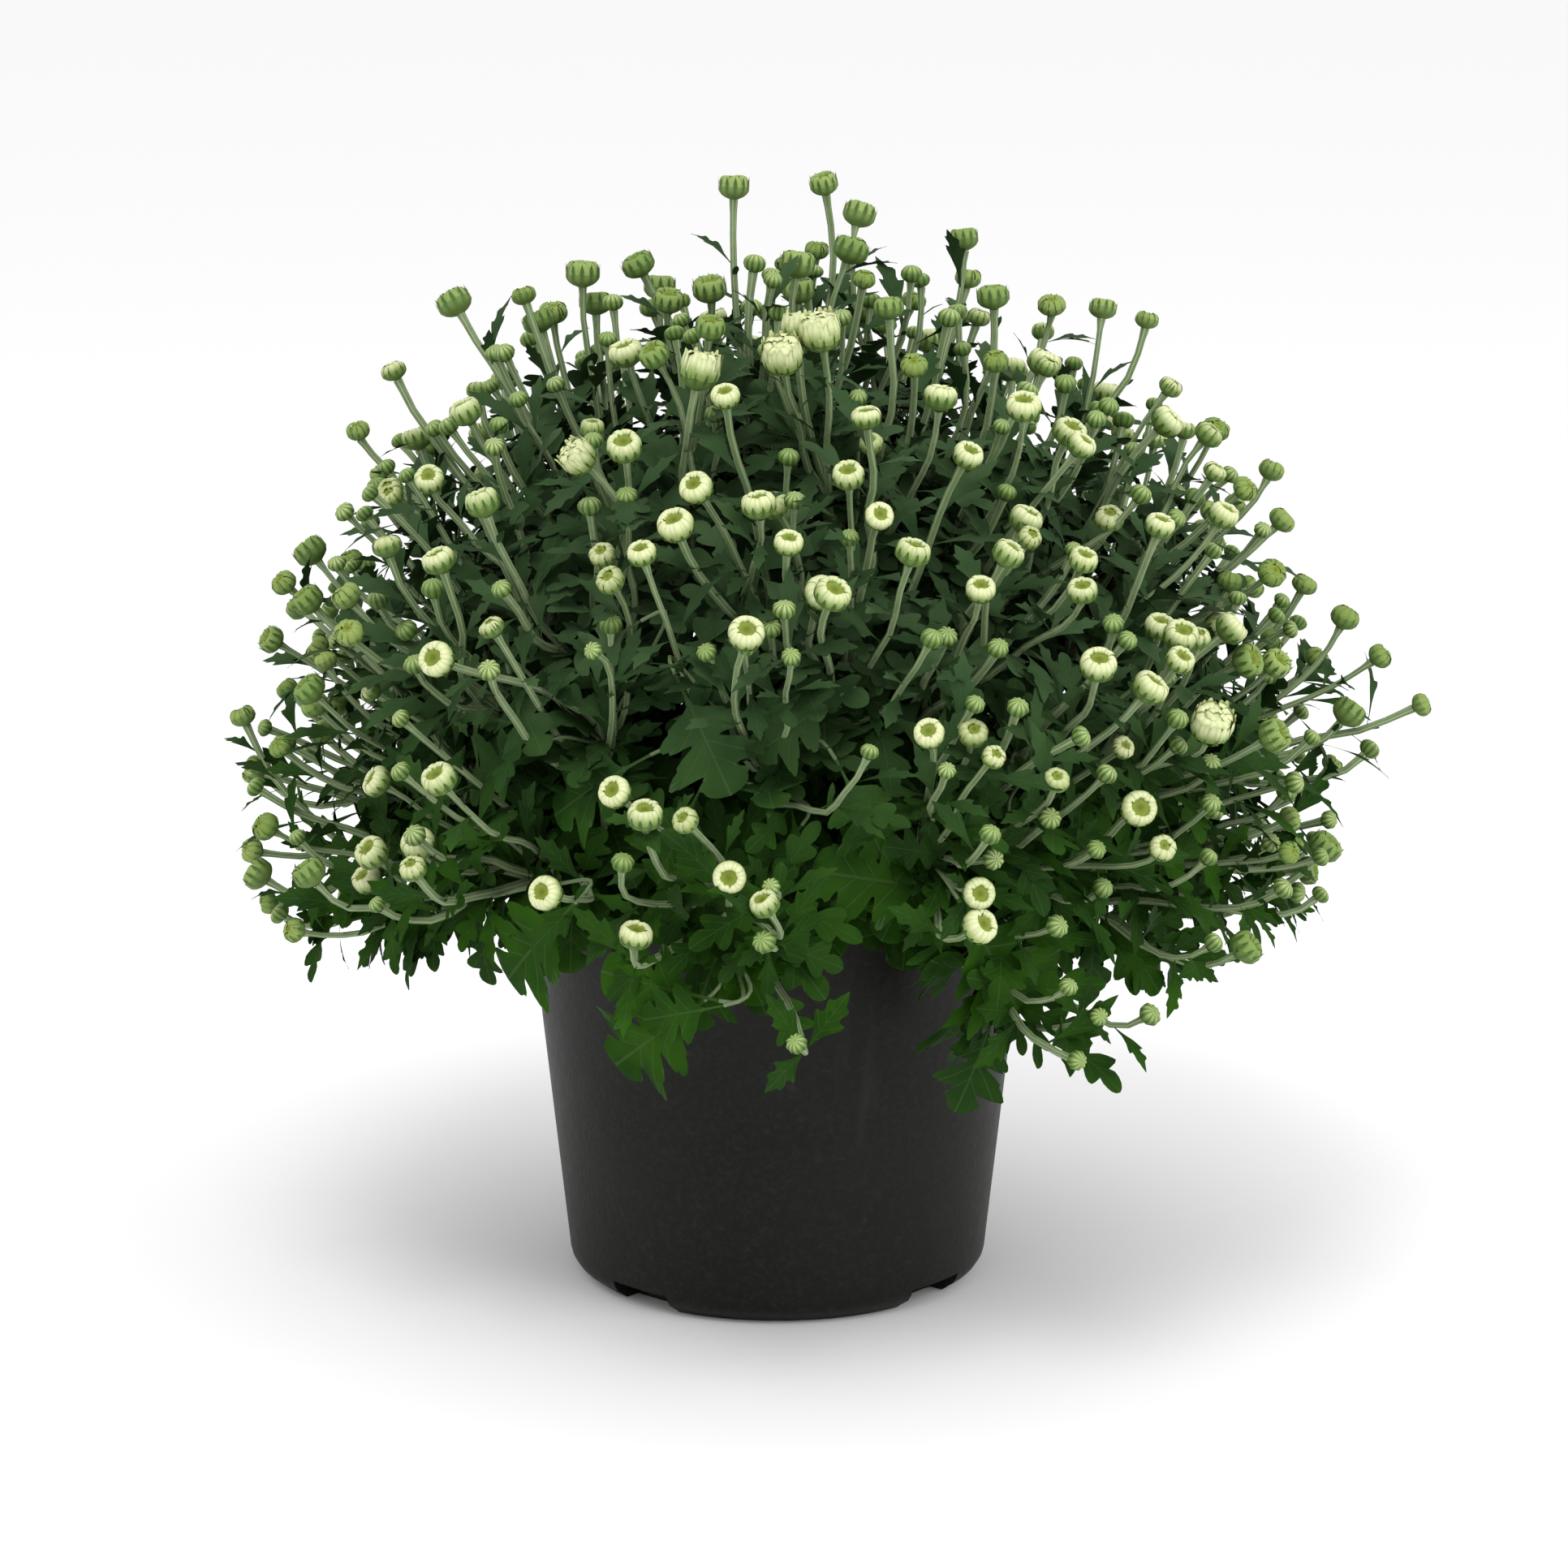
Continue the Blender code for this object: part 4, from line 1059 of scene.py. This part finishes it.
def cup_form(top, flare, draw_in=0.0):
    """The green cup under an opening head, with pointed bracts that may bend in over the petals."""
    columns = CUP_BRACTS * 3
    points, marks = [], []
    for row in range(CUP_ROWS):
        for k in range(columns):
            tip = k % 3 == 0
            share = row / (CUP_ROWS - 1) * (1.0 if tip else CUP_LOW)
            height = top * share
            widening = math.sin(min(1, height / CUP_WIDEST) * math.pi / 2) ** CUP_ROUNDNESS
            radius = CUP_FOOT + (flare - CUP_FOOT) * widening
            radius *= TIP_WIDTH if tip else GAP_WIDTH
            radius -= draw_in * max(0, height - CUP_BEND) ** 2
            points.append(at_angle(radius, 2 * math.pi * k / columns, height))
            marks.append((share, tip, CUP_KIND))
    return np.array(points), np.array(marks), [grid_faces(CUP_ROWS, columns, True)]


def petal_ring(ring, rng, ripeness=1.0):
    """A ring of curved petals, green up to a height by ripeness."""
    points, marks, faces = [], [], []
    rows = len(ring.profile)
    for k in range(ring.count):
        angle = ring.first + 2 * math.pi * (k + rng.uniform(-PETAL_TURN, PETAL_TURN)) / ring.count
        out = np.array((math.cos(angle), math.sin(angle)))
        aside = np.array((-math.sin(angle), math.cos(angle)))
        own = ring.offset * (k % 2) + rng.uniform(-0.5, 0.5) * ring.offset
        end = rng.uniform(-1, 1) * PETAL_END_STRAY
        tall = 1 + rng.uniform(-ring.jitter, ring.jitter)
        faces.append(grid_faces(rows, 3) + len(points))
        for row, (radius, height, width) in enumerate(ring.profile):
            reach = radius + own + end * max(0, 2 * row / (rows - 1) - 1)
            # The inner ends are green: partly the petals' own green, partly painted shade that deepens the
            # pit.
            up = height * (ripeness if row < rows - 1 else ring.end_up)
            for column in (-1, 0, 1):
                spot = out * (reach + PETAL_BULGE * (1 - abs(column))) + aside * width * column
                points.append((*spot, height * tall + own * 0.5))
                marks.append((up, 1 - abs(column), ring.kind))
    return np.array(points), np.array(marks), faces


def disc_form(radius, height, dome, kind):
    """The small cushion of unopened florets in the middle of a head."""
    points = [(0, 0, height + dome)]
    marks = [(height, 0.0, kind)]
    for row, share in enumerate(DISC_RINGS):
        for k in range(DISC_COLUMNS):
            angle = 2 * math.pi * (k + 0.5 * row) / DISC_COLUMNS
            bump = DISC_BUMP * (1 if k % 2 else -1) if row < 2 else 0
            points.append(at_angle(radius * share, angle, height + dome * (1 - share * share) + bump))
            marks.append((height, share, kind))
    fan = np.array([(0, 1 + k, 1 + (k + 1) % DISC_COLUMNS) for k in range(DISC_COLUMNS)])
    rings = grid_faces(len(DISC_RINGS), DISC_COLUMNS, True)[:, ::-1] + 1
    return np.array(points), np.array(marks), [fan, rings]


def joined(forms):
    """Several forms as one: (points, marks, faces)."""
    points, marks, faces = [], [], []
    count = 0
    for own_points, own_marks, own_faces in forms:
        points.append(own_points)
        marks.append(own_marks)
        faces += [block + count for block in own_faces]
        count += len(own_points)
    return np.concatenate(points), np.concatenate(marks), faces


def head_forms(rng):
    """For each stage, some variants of its green form and of its cream form, the greenest last."""
    made = {"bud": [], "opening": [], "button": [], "ragged": []}
    for k, ripeness in enumerate(RIPENESS):
        made["bud"].append((bud_form(rng), None))
        half_shut = [petal_ring(OPENING_RING, rng, ripeness), disc_form(*OPENING_DISC)]
        cup = cup_form(OPENING_CUP_TOP + OPENING_CUP_RISE * k, OPENING_CUP_WIDTH, OPENING_CUP_BEND)
        made["opening"].append((cup, joined(half_shut)))
        button = [petal_ring(BUTTON_RING, rng, ripeness), disc_form(*BUTTON_DISC)]
        made["button"].append((cup_form(BUTTON_CUPS[k], BUTTON_CUP_WIDTH), joined(button)))
        ragged = [petal_ring(ring, rng) for ring in RAGGED_RINGS] + [disc_form(*RAGGED_DISC)]
        made["ragged"].append((cup_form(*RAGGED_CUP), joined(ragged)))
    return made


def place_form(gathered, form, head, spin, squash, tone):
    points, marks, faces = form
    width = head.width * (BUTTON_FILL if head.stage == "button" else 1.0)
    side = square_to(head.facing, spin)
    turn = np.array([side, head.facing.cross(side), head.facing * squash])
    placed = points @ turn * width + np.array(head.place)
    values = np.column_stack([marks[:, 0], marks[:, 1], np.full(len(points), tone), marks[:, 2]])
    gathered.add(placed, values, faces)


def draw_heads(stem, forms, green, cream, rng):
    for head in (shoot.head for shoot in stem.shoots):
        variants = forms[head.stage]
        from_side = head.place.z > SKYLINE or abs(head.place.x - HEART.x) > FLANK
        own_green, own_cream = variants[-1] if from_side else rng.choice(variants[:-1])
        spin, squash, tone = rng.uniform(0, 2 * math.pi), rng.uniform(*SQUASH), rng.random()
        place_form(green, own_green, head, spin, squash, tone)
        if own_cream:
            place_form(cream, own_cream, head, spin, squash, tone)


# Looks

class Look:
    """A material's nodes, made by short calls. A value at the points goes by its name."""

    def __init__(self, name):
        self.material = bpy.data.materials.new(name)
        self.material.use_nodes = True
        self.nodes = self.material.node_tree.nodes
        self.links = self.material.node_tree.links
        self.shader = self.nodes["Principled BSDF"]

    def node(self, kind, **values):
        """A new node with some of its inputs set or joined."""
        node = self.nodes.new("ShaderNode" + kind)
        for name, value in values.items():
            self.put(node.inputs[name.replace("_", " ")], value)
        return node

    def put(self, socket, value):
        """Sets a socket to a number or colour, or joins it to a node's or a named value."""
        if isinstance(value, str):
            node = self.node("Attribute")
            node.attribute_name = value
            value = node.outputs["Fac"]
        if isinstance(value, bpy.types.NodeSocket):
            self.links.new(value, socket)
        else:
            socket.default_value = (*value, 1) if isinstance(value, tuple) else value

    def maths(self, operation, *values):
        node = self.node("Math")
        node.operation = operation
        for socket, value in zip(node.inputs, values):
            self.put(socket, value)
        return node.outputs[0]

    def times(self, first, second):
        return self.maths("MULTIPLY", first, second)

    def plus(self, first, second):
        return self.maths("ADD", first, second)

    def between(self, value, low, high):
        """0 below low, 1 above high, smooth between them; the other way round if low is over high."""
        start, end = sorted((low, high))
        node = self.node("MapRange", Value=value, From_Min=start, From_Max=end)
        node.interpolation_type = "SMOOTHSTEP"
        node.inputs["To Min"].default_value = float(low > high)
        node.inputs["To Max"].default_value = float(low < high)
        return node.outputs["Result"]

    def mix(self, share, first, second):
        node = self.node("Mix")
        node.data_type = "RGBA"
        for index, value in ((0, share), (6, first), (7, second)):
            self.put(node.inputs[index], value)
        return node.outputs[2]

    def fade(self, value, low, high, first, second):
        """The first colour where the value is low, the second where it is high."""
        return self.mix(self.between(value, low, high), first, second)

    def height(self):
        return self.node("SeparateXYZ", Vector=self.node("TexCoord").outputs["Object"]).outputs["Z"]

    def noise(self, scale, detail=3.0, roughness=0.5, stretch=None):
        place = self.node("TexCoord").outputs["Object"]
        if stretch:
            mapping = self.node("Mapping", Vector=place)
            mapping.inputs["Scale"].default_value = stretch
            place = mapping.outputs["Vector"]
        node = self.node("TexNoise", Vector=place, Scale=scale, Detail=detail, Roughness=roughness)
        return node.outputs["Fac"]

    def bump(self, height, strength, distance):
        node = self.node("Bump", Strength=strength, Distance=distance, Height=height)
        self.put(self.shader.inputs["Normal"], node.outputs["Normal"])

    def finish(self, colour, roughness, specular):
        self.put(self.shader.inputs["Base Color"], colour)
        self.put(self.shader.inputs["Roughness"], roughness)
        self.shader.inputs["Specular IOR Level"].default_value = specular
        return self.material


STEM_RIBS = 6
# Where the pairs of side veins leave the rib, how steeply they climb and how far they bend back
VEINS = ((0.24, 0.24, -0.1), (0.40, 0.40, -0.1), (0.55, 0.50, 0), (0.68, 0.70, 0))
VEIN_WIDTH = 0.012


def stem_look():
    look = Look("stem_green")
    ribs = look.maths("SINE", look.times("turn", STEM_RIBS * 2 * math.pi))
    fresh = look.fade(look.noise(220), 0.3, 0.7, (0.152, 0.222, 0.098), (0.222, 0.292, 0.146))
    fresh = look.mix(look.times("tone", 0.6), fresh, (0.116, 0.188, 0.064))
    # Painted highlight: the ridges of the ribs are painted pale, while the grooves keep the darker green.
    fresh = look.fade(ribs, -0.2, 0.9, fresh, (0.305, 0.378, 0.215))
    colour = look.fade("age", 0.30, 0.68, fresh, (0.082, 0.124, 0.048))
    colour = look.fade("age", 0.75, 0.95, colour, (0.10, 0.08, 0.045))
    hairs = look.noise(1800, 2)
    look.bump(look.plus(look.times(ribs, 0.5), hairs), 0.5, 0.0003)
    return look.finish(colour, 0.65, 0.25)


def vein(look, start, slope, bow):
    """One pair of side veins."""
    aside = look.maths("ABSOLUTE", "across")
    climb = look.plus(look.times(aside, slope), look.times(look.times(aside, aside), bow))
    off = look.maths("ABSOLUTE", look.maths("SUBTRACT", "ahead", look.plus(climb, start)))
    return look.between(off, VEIN_WIDTH, VEIN_WIDTH * 0.3)


def leaf_look():
    look = Look("leaf_green")
    veins = look.between(look.maths("ABSOLUTE", "across"), 0.020, 0.007)
    for pair in VEINS:
        veins = look.maths("MAXIMUM", veins, vein(look, *pair))
    broad = look.between(look.noise(45), 0.3, 0.7)
    fine = look.noise(700)
    low = look.mix(broad, (0.0085, 0.041, 0.0008), (0.024, 0.085, 0.0022))
    high = look.mix(broad, (0.030, 0.067, 0.025), (0.061, 0.108, 0.046))
    upper = look.fade(look.height(), 0.20, 0.30, low, high)
    upper = look.mix(look.times("tone", 0.6), upper, (0.013, 0.034, 0.010))
    upper = look.mix(look.times(fine, 0.2), upper, (0.035, 0.070, 0.020))
    upper = look.mix(look.times(veins, 0.40), upper, (0.060, 0.110, 0.035))
    under = look.mix(look.times(veins, 0.6), (0.042, 0.078, 0.030), (0.08, 0.13, 0.055))
    look.bump(look.maths("SUBTRACT", look.times(fine, 0.4), veins), 0.5, 0.0005)
    return look.finish(look.mix("under", upper, under), 0.65, 0.04)


def bract_look():
    look = Look("bract_green")
    crest = look.between("crest", 0.0, 0.8)
    body = look.mix("tone", (0.098, 0.182, 0.036), (0.170, 0.265, 0.068))
    # Painted highlight: the buds' tops are paler of their own and are painted paler still, as if lit.
    top = look.mix("tone", (0.29, 0.40, 0.13), (0.45, 0.54, 0.24))
    # Painted shade: the grooves between a bud's bracts are painted dark, less so towards its top.
    groove = look.fade("up", 0.35, 0.70, (0.040, 0.085, 0.012), (0.13, 0.21, 0.045))
    bud = look.mix(crest, groove, look.fade("up", 0.40, 0.70, body, top))
    cup = look.mix("tone", (0.100, 0.175, 0.036), (0.165, 0.250, 0.068))
    cup = look.mix(look.times(look.between("up", 0.15, 0.65), crest), cup, (0.065, 0.125, 0.027))
    look.bump(look.noise(1500, 2), 0.3, 0.0003)
    return look.finish(look.mix("kind", bud, cup), 0.6, 0.25)


def petal_look():
    look = Look("petal_cream")
    # Painted shade: each petal is darker along its edges, where it meets the next, and paler along its
    # middle. On the pit the same mask makes the middle darker.
    petal_edge_shade_and_pit_middle = look.between("crest", 0.0, 0.9)
    cream = look.mix(petal_edge_shade_and_pit_middle, (0.58, 0.64, 0.31), (0.69, 0.72, 0.43))
    fresh = look.mix("tone", (0.17, 0.27, 0.06), (0.28, 0.38, 0.11))
    cream = look.fade("up", 0.70, 0.34, cream, fresh)
    pit = look.mix(petal_edge_shade_and_pit_middle, (0.105, 0.14, 0.010), (0.215, 0.27, 0.030))
    look.bump(look.noise(900), 0.25, 0.0003)
    return look.finish(look.mix("kind", cream, pit), 0.6, 0.25)


def pot_look():
    look = Look("black_plastic")
    cloud = look.noise(14, 4)
    dust = look.noise(160, 5, 0.65)
    scuffs = look.noise(60, 3, 0.6, (1, 1, 0.08))
    grain = look.noise(420, 3, 0.7)
    colour = look.fade(cloud, 0.35, 0.75, (0.0032, 0.0040, 0.0022), (0.0062, 0.0068, 0.0042))
    for marks, low, high, share, tint in (
        (grain, 0.42, 0.70, 0.40, (0.0150, 0.0160, 0.0140)), (dust, 0.52, 0.8, 0.35, (0.030, 0.031, 0.027)),
        (scuffs, 0.62, 0.8, 0.20, (0.035, 0.035, 0.032)),
    ):
        colour = look.mix(look.times(look.between(marks, low, high), share), colour, tint)
    look.bump(look.plus(look.times(dust, 0.6), look.plus(cloud, grain)), 0.3, 0.0006)
    return look.finish(colour, look.plus(look.times(dust, 0.2), 0.40), 0.18)


def soil_look():
    look = Look("peat")
    lumps = look.noise(160, 6, 0.65)
    crumbs = look.noise(900, 4, 0.7)
    colour = look.fade(lumps, 0.35, 0.7, (0.018, 0.012, 0.008), (0.055, 0.036, 0.022))
    colour = look.fade(crumbs, 0.62, 0.75, colour, (0.14, 0.10, 0.06))
    look.bump(look.plus(lumps, crumbs), 0.9, 0.002)
    return look.finish(colour, 0.95, 0.2)


# Pot

POT_STEPS = 144
# Where the turned wall closes, points nearer to each other than this become one
SAME_POINT = 0.0001
FOOT_SET_IN = 0.002
INNER_FOOT_RADIUS = WALL_FOOT_RADIUS - WALL - FOOT_SET_IN
# The wall's inside starts at this height, where the floor's round ends
INNER_FOOT_HEIGHT = LOWER_EDGE_HEIGHT + 0.002


def wall_radius(height):
    share = (height - LOWER_EDGE_HEIGHT) / (POT_HEIGHT - LOWER_EDGE_HEIGHT)
    return WALL_FOOT_RADIUS + (WALL_TOP_RADIUS - WALL_FOOT_RADIUS) * share


def pot_profile():
    """Radii and heights from the floor up the wall's inside, over the lip and down to the foot."""
    top = POT_HEIGHT
    mouth = WALL_TOP_RADIUS - WALL
    lip = WALL_TOP_RADIUS + LIP_OUT
    lip_foot = top - LIP_HEIGHT
    neck = wall_radius(lip_foot)
    edge = LOWER_EDGE_HEIGHT
    return (
        (0, FLOOR), (INNER_FOOT_RADIUS - 0.006, FLOOR), (INNER_FOOT_RADIUS - 0.002, 0.0062),
        (INNER_FOOT_RADIUS, INNER_FOOT_HEIGHT), (mouth, top - 0.0004), (mouth + 0.0004, top),
        (lip - 0.0008, top), (lip - 0.0002, top - 0.0003), (lip, top - 0.001),
        (lip, lip_foot + 0.0005), (lip - 0.0004, lip_foot), (neck + 0.0005, lip_foot - 0.0006),
        (neck, lip_foot - 0.002), (wall_radius(0.06), 0.06), (WALL_FOOT_RADIUS + 0.0003, edge + 0.004),
        (WALL_FOOT_RADIUS, edge + 0.001), (WALL_FOOT_RADIUS - 0.0006, edge - 0.0012),
        (FOOT_RADIUS + 0.0055, edge / 2), (FOOT_RADIUS + 0.001, 0.001), (FOOT_RADIUS + 0.0002, 0.0002),
        (FOOT_RADIUS - 0.0005, 0), (0, 0),
    )


def turned(name, profile, material):
    """A profile of radii and heights turned round the Z axis."""
    mesh = bpy.data.meshes.new(name)
    points = [(radius, 0, height) for radius, height in profile]
    mesh.from_pydata(points, [(k, k + 1) for k in range(len(points) - 1)], [])
    mesh.materials.append(material)
    obj = linked(name, mesh)
    screw = obj.modifiers.new("Turn", "SCREW")
    screw.steps = screw.render_steps = POT_STEPS
    screw.use_merge_vertices = True
    screw.merge_threshold = SAME_POINT
    return obj


def make_pot(material):
    pot = turned("pot_body", pot_profile(), material)
    tools = []
    for k in range(NOTCH_COUNT):
        angle = NOTCH_FIRST_ANGLE + 2 * math.pi * k / NOTCH_COUNT
        bpy.ops.mesh.primitive_cube_add(size=1)
        tool = bpy.context.object
        tool.scale = (NOTCH_DEPTH * 2, NOTCH_WIDTH, NOTCH_HEIGHT * 2)
        tool.location = direction(angle, 0) * (FOOT_RADIUS + NOTCH_OUT)
        tool.rotation_euler.z = angle
        cut = pot.modifiers.new(f"Notch {k + 1}", "BOOLEAN")
        cut.operation = "DIFFERENCE"
        cut.object = tool
        cut.solver = "EXACT"
        tools.append(tool)
    return applied(pot, tools)


def applied(obj, tools):
    """Applies the object's modifiers, shades it smooth but for its sharp edges, and removes the tools."""
    bpy.context.view_layer.update()
    graph = bpy.context.evaluated_depsgraph_get()
    mesh = bpy.data.meshes.new_from_object(obj.evaluated_get(graph))
    shade_smooth(mesh)
    obj.modifiers.clear()
    obj.data = mesh
    for tool in tools:
        bpy.data.objects.remove(tool)
    return obj


# Soil

SOIL_ROWS = 40
SOIL_COLUMNS = 120
SOIL_WAVES = 24
# Rings of the peat's top lie closer together near the pot, the lower this is
SOIL_SPACING = 0.8
# Radii of its underside: how far inside the foot it starts, and its middle
SOIL_SET_IN = 0.003
SOIL_MIDDLE = 0.001
# Waves of the peat's top, from wide swells to crumbs, in radians a metre; the finer they are, the lower
WAVE_RATES = (60, 900)
WAVE_FALL = 0.75
WAVE_HEIGHT = 0.25
LUMP_SHARE = 0.25
DEEPEST = -0.006
HIGHEST = 0.004
SUNK = 0.002


def lumps(x, y, waves):
    """How far the peat's top rises or falls at a place."""
    total = sum(
        math.sin(rate * (x * math.cos(turn) + y * math.sin(turn)) + phase) * WAVE_HEIGHT / rate**WAVE_FALL
        for rate, turn, phase in waves
    )
    return max(DEEPEST, min(HIGHEST, total * LUMP_SHARE))


def make_soil(material):
    """Peat with a lumpy top."""
    edge = wall_radius(SOIL_TOP) - WALL - GAP
    rng = np.random.default_rng(SEED)
    spans = (WAVE_RATES, (0, 2 * math.pi), (0, 2 * math.pi))
    waves = [[rng.uniform(*span) for span in spans] for _ in range(SOIL_WAVES)]
    angles = [2 * math.pi * k / SOIL_COLUMNS for k in range(SOIL_COLUMNS)]
    points = []
    for row in range(SOIL_ROWS):
        radius = edge * (row / (SOIL_ROWS - 1)) ** SOIL_SPACING
        for angle in angles:
            x, y, level = at_angle(radius, angle, SOIL_TOP - SUNK)
            points.append((x, y, level + lumps(x, y, waves)))
    below = (
        (wall_radius(INNER_FOOT_HEIGHT) - WALL - FOOT_SET_IN - GAP, INNER_FOOT_HEIGHT + GAP),
        (FOOT_RADIUS - SOIL_SET_IN - GAP, FLOOR + GAP), (SOIL_MIDDLE, FLOOR + GAP),
    )
    for radius, height in below:
        points += [at_angle(radius, angle, height) for angle in angles]
    mesh = bpy.data.meshes.new("soil_body")
    faces = grid_faces(SOIL_ROWS + len(below), SOIL_COLUMNS, True)[:, ::-1]
    mesh.from_pydata(points, [], faces.tolist())
    shade_smooth(mesh)
    mesh.materials.append(material)
    return linked("soil_body", mesh)


# Studio

SENSOR_WIDTH = 36
# The width that the picture shows at the plant
PICTURE_WIDTH = 0.644
FLOOR_SIZE = 60
FLOOR_DROP = 0.0002
FLOOR_WHITE = (0.96, 0.96, 0.96)
LIT_PLACE = Vector((0, 0, 0.2))
# Lights: place, size and power
LIGHTS = {"key": ((-0.35, -1.5, 2.6), 1.2, 25), "fill": ((1.8, -1.2, 1.2), 1.5, 13)}
SKY_STRENGTH = 0.98


def make_camera():
    camera = linked("camera", bpy.data.cameras.new("camera"))
    camera.location = SIGHT_TARGET - SIGHT_VIEW * SIGHT_DISTANCE
    camera.rotation_euler = (math.pi / 2 - SIGHT_PITCH, 0, 0)
    camera.data.sensor_width = SENSOR_WIDTH
    camera.data.lens = SENSOR_WIDTH * SIGHT_DISTANCE / PICTURE_WIDTH
    bpy.context.scene.camera = camera


def make_light(name, place, size, power):
    lamp = bpy.data.lights.new(name, "AREA")
    lamp.shape = "DISK"
    lamp.size = size
    lamp.energy = power
    light = linked(name, lamp)
    light.location = place
    light.rotation_euler = (LIT_PLACE - Vector(place)).to_track_quat("-Z", "Y").to_euler()


def make_studio():
    bpy.ops.mesh.primitive_plane_add(size=FLOOR_SIZE, location=(0, 0, -FLOOR_DROP))
    floor = bpy.context.object
    floor.name = "floor"
    floor.data.materials.append(Look("floor").finish(FLOOR_WHITE, 0.9, 0.1))
    world = bpy.data.worlds.new("studio")
    world.use_nodes = True
    sky = world.node_tree.nodes["Background"]
    sky.inputs["Color"].default_value = (1, 1, 1, 1)
    sky.inputs["Strength"].default_value = SKY_STRENGTH
    bpy.context.scene.world = world
    for name, light in LIGHTS.items():
        make_light(name, *light)
    bpy.context.scene.view_settings.view_transform = "Standard"


# The whole picture

# Each stem's fine pieces: names, the values at their points, looks and material slots
STEM_PARTS = (
    ("stalks", ("age", "turn", "tone"), "stem", "foliage"),
    ("leaves", ("ahead", "across", "tone", "under"), "leaf", "foliage"),
    ("bracts", HEAD_VALUES, "bract", "foliage"),
    ("petals", HEAD_VALUES, "petal", "petals"),
)


def dress(piece, node):
    """Rides a piece on the part's body, in place of a node's solid."""
    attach(piece, "root")
    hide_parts(node)


def make_stem(index, ways, heads, forms, looks):
    stem = grow_stem(index, ways, heads)
    rng = random.Random(SEED * 2000 + index)
    everything = [Gathered() for _ in STEM_PARTS]
    stalks, leaves, green, cream = everything
    draw_shoots(stem, stalks, rng)
    draw_leaves(stem, leaves, rng)
    draw_seen_leaves(stem, seen_leaves(index, ways), leaves, stalks, rng)
    draw_heads(stem, forms, green, cream, rng)
    node = f"stem_{index + 1:02d}"
    for gathered, (name, values, look, slot) in zip(everything, STEM_PARTS):
        if gathered.count:
            dress(gathered.to_object(f"{node}_{name}", values, looks[look]), node)


def main():
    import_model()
    make_camera()
    make_studio()
    dress(make_pot(pot_look()), "pot")
    dress(make_soil(soil_look()), "soil")
    ways = stem_directions()
    forms = head_forms(random.Random(SEED))
    looks = {"stem": stem_look(), "leaf": leaf_look(), "bract": bract_look(), "petal": petal_look()}
    for index, heads in enumerate(heads_by_stem(ways)):
        make_stem(index, ways, heads, forms, looks)
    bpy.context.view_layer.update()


main()
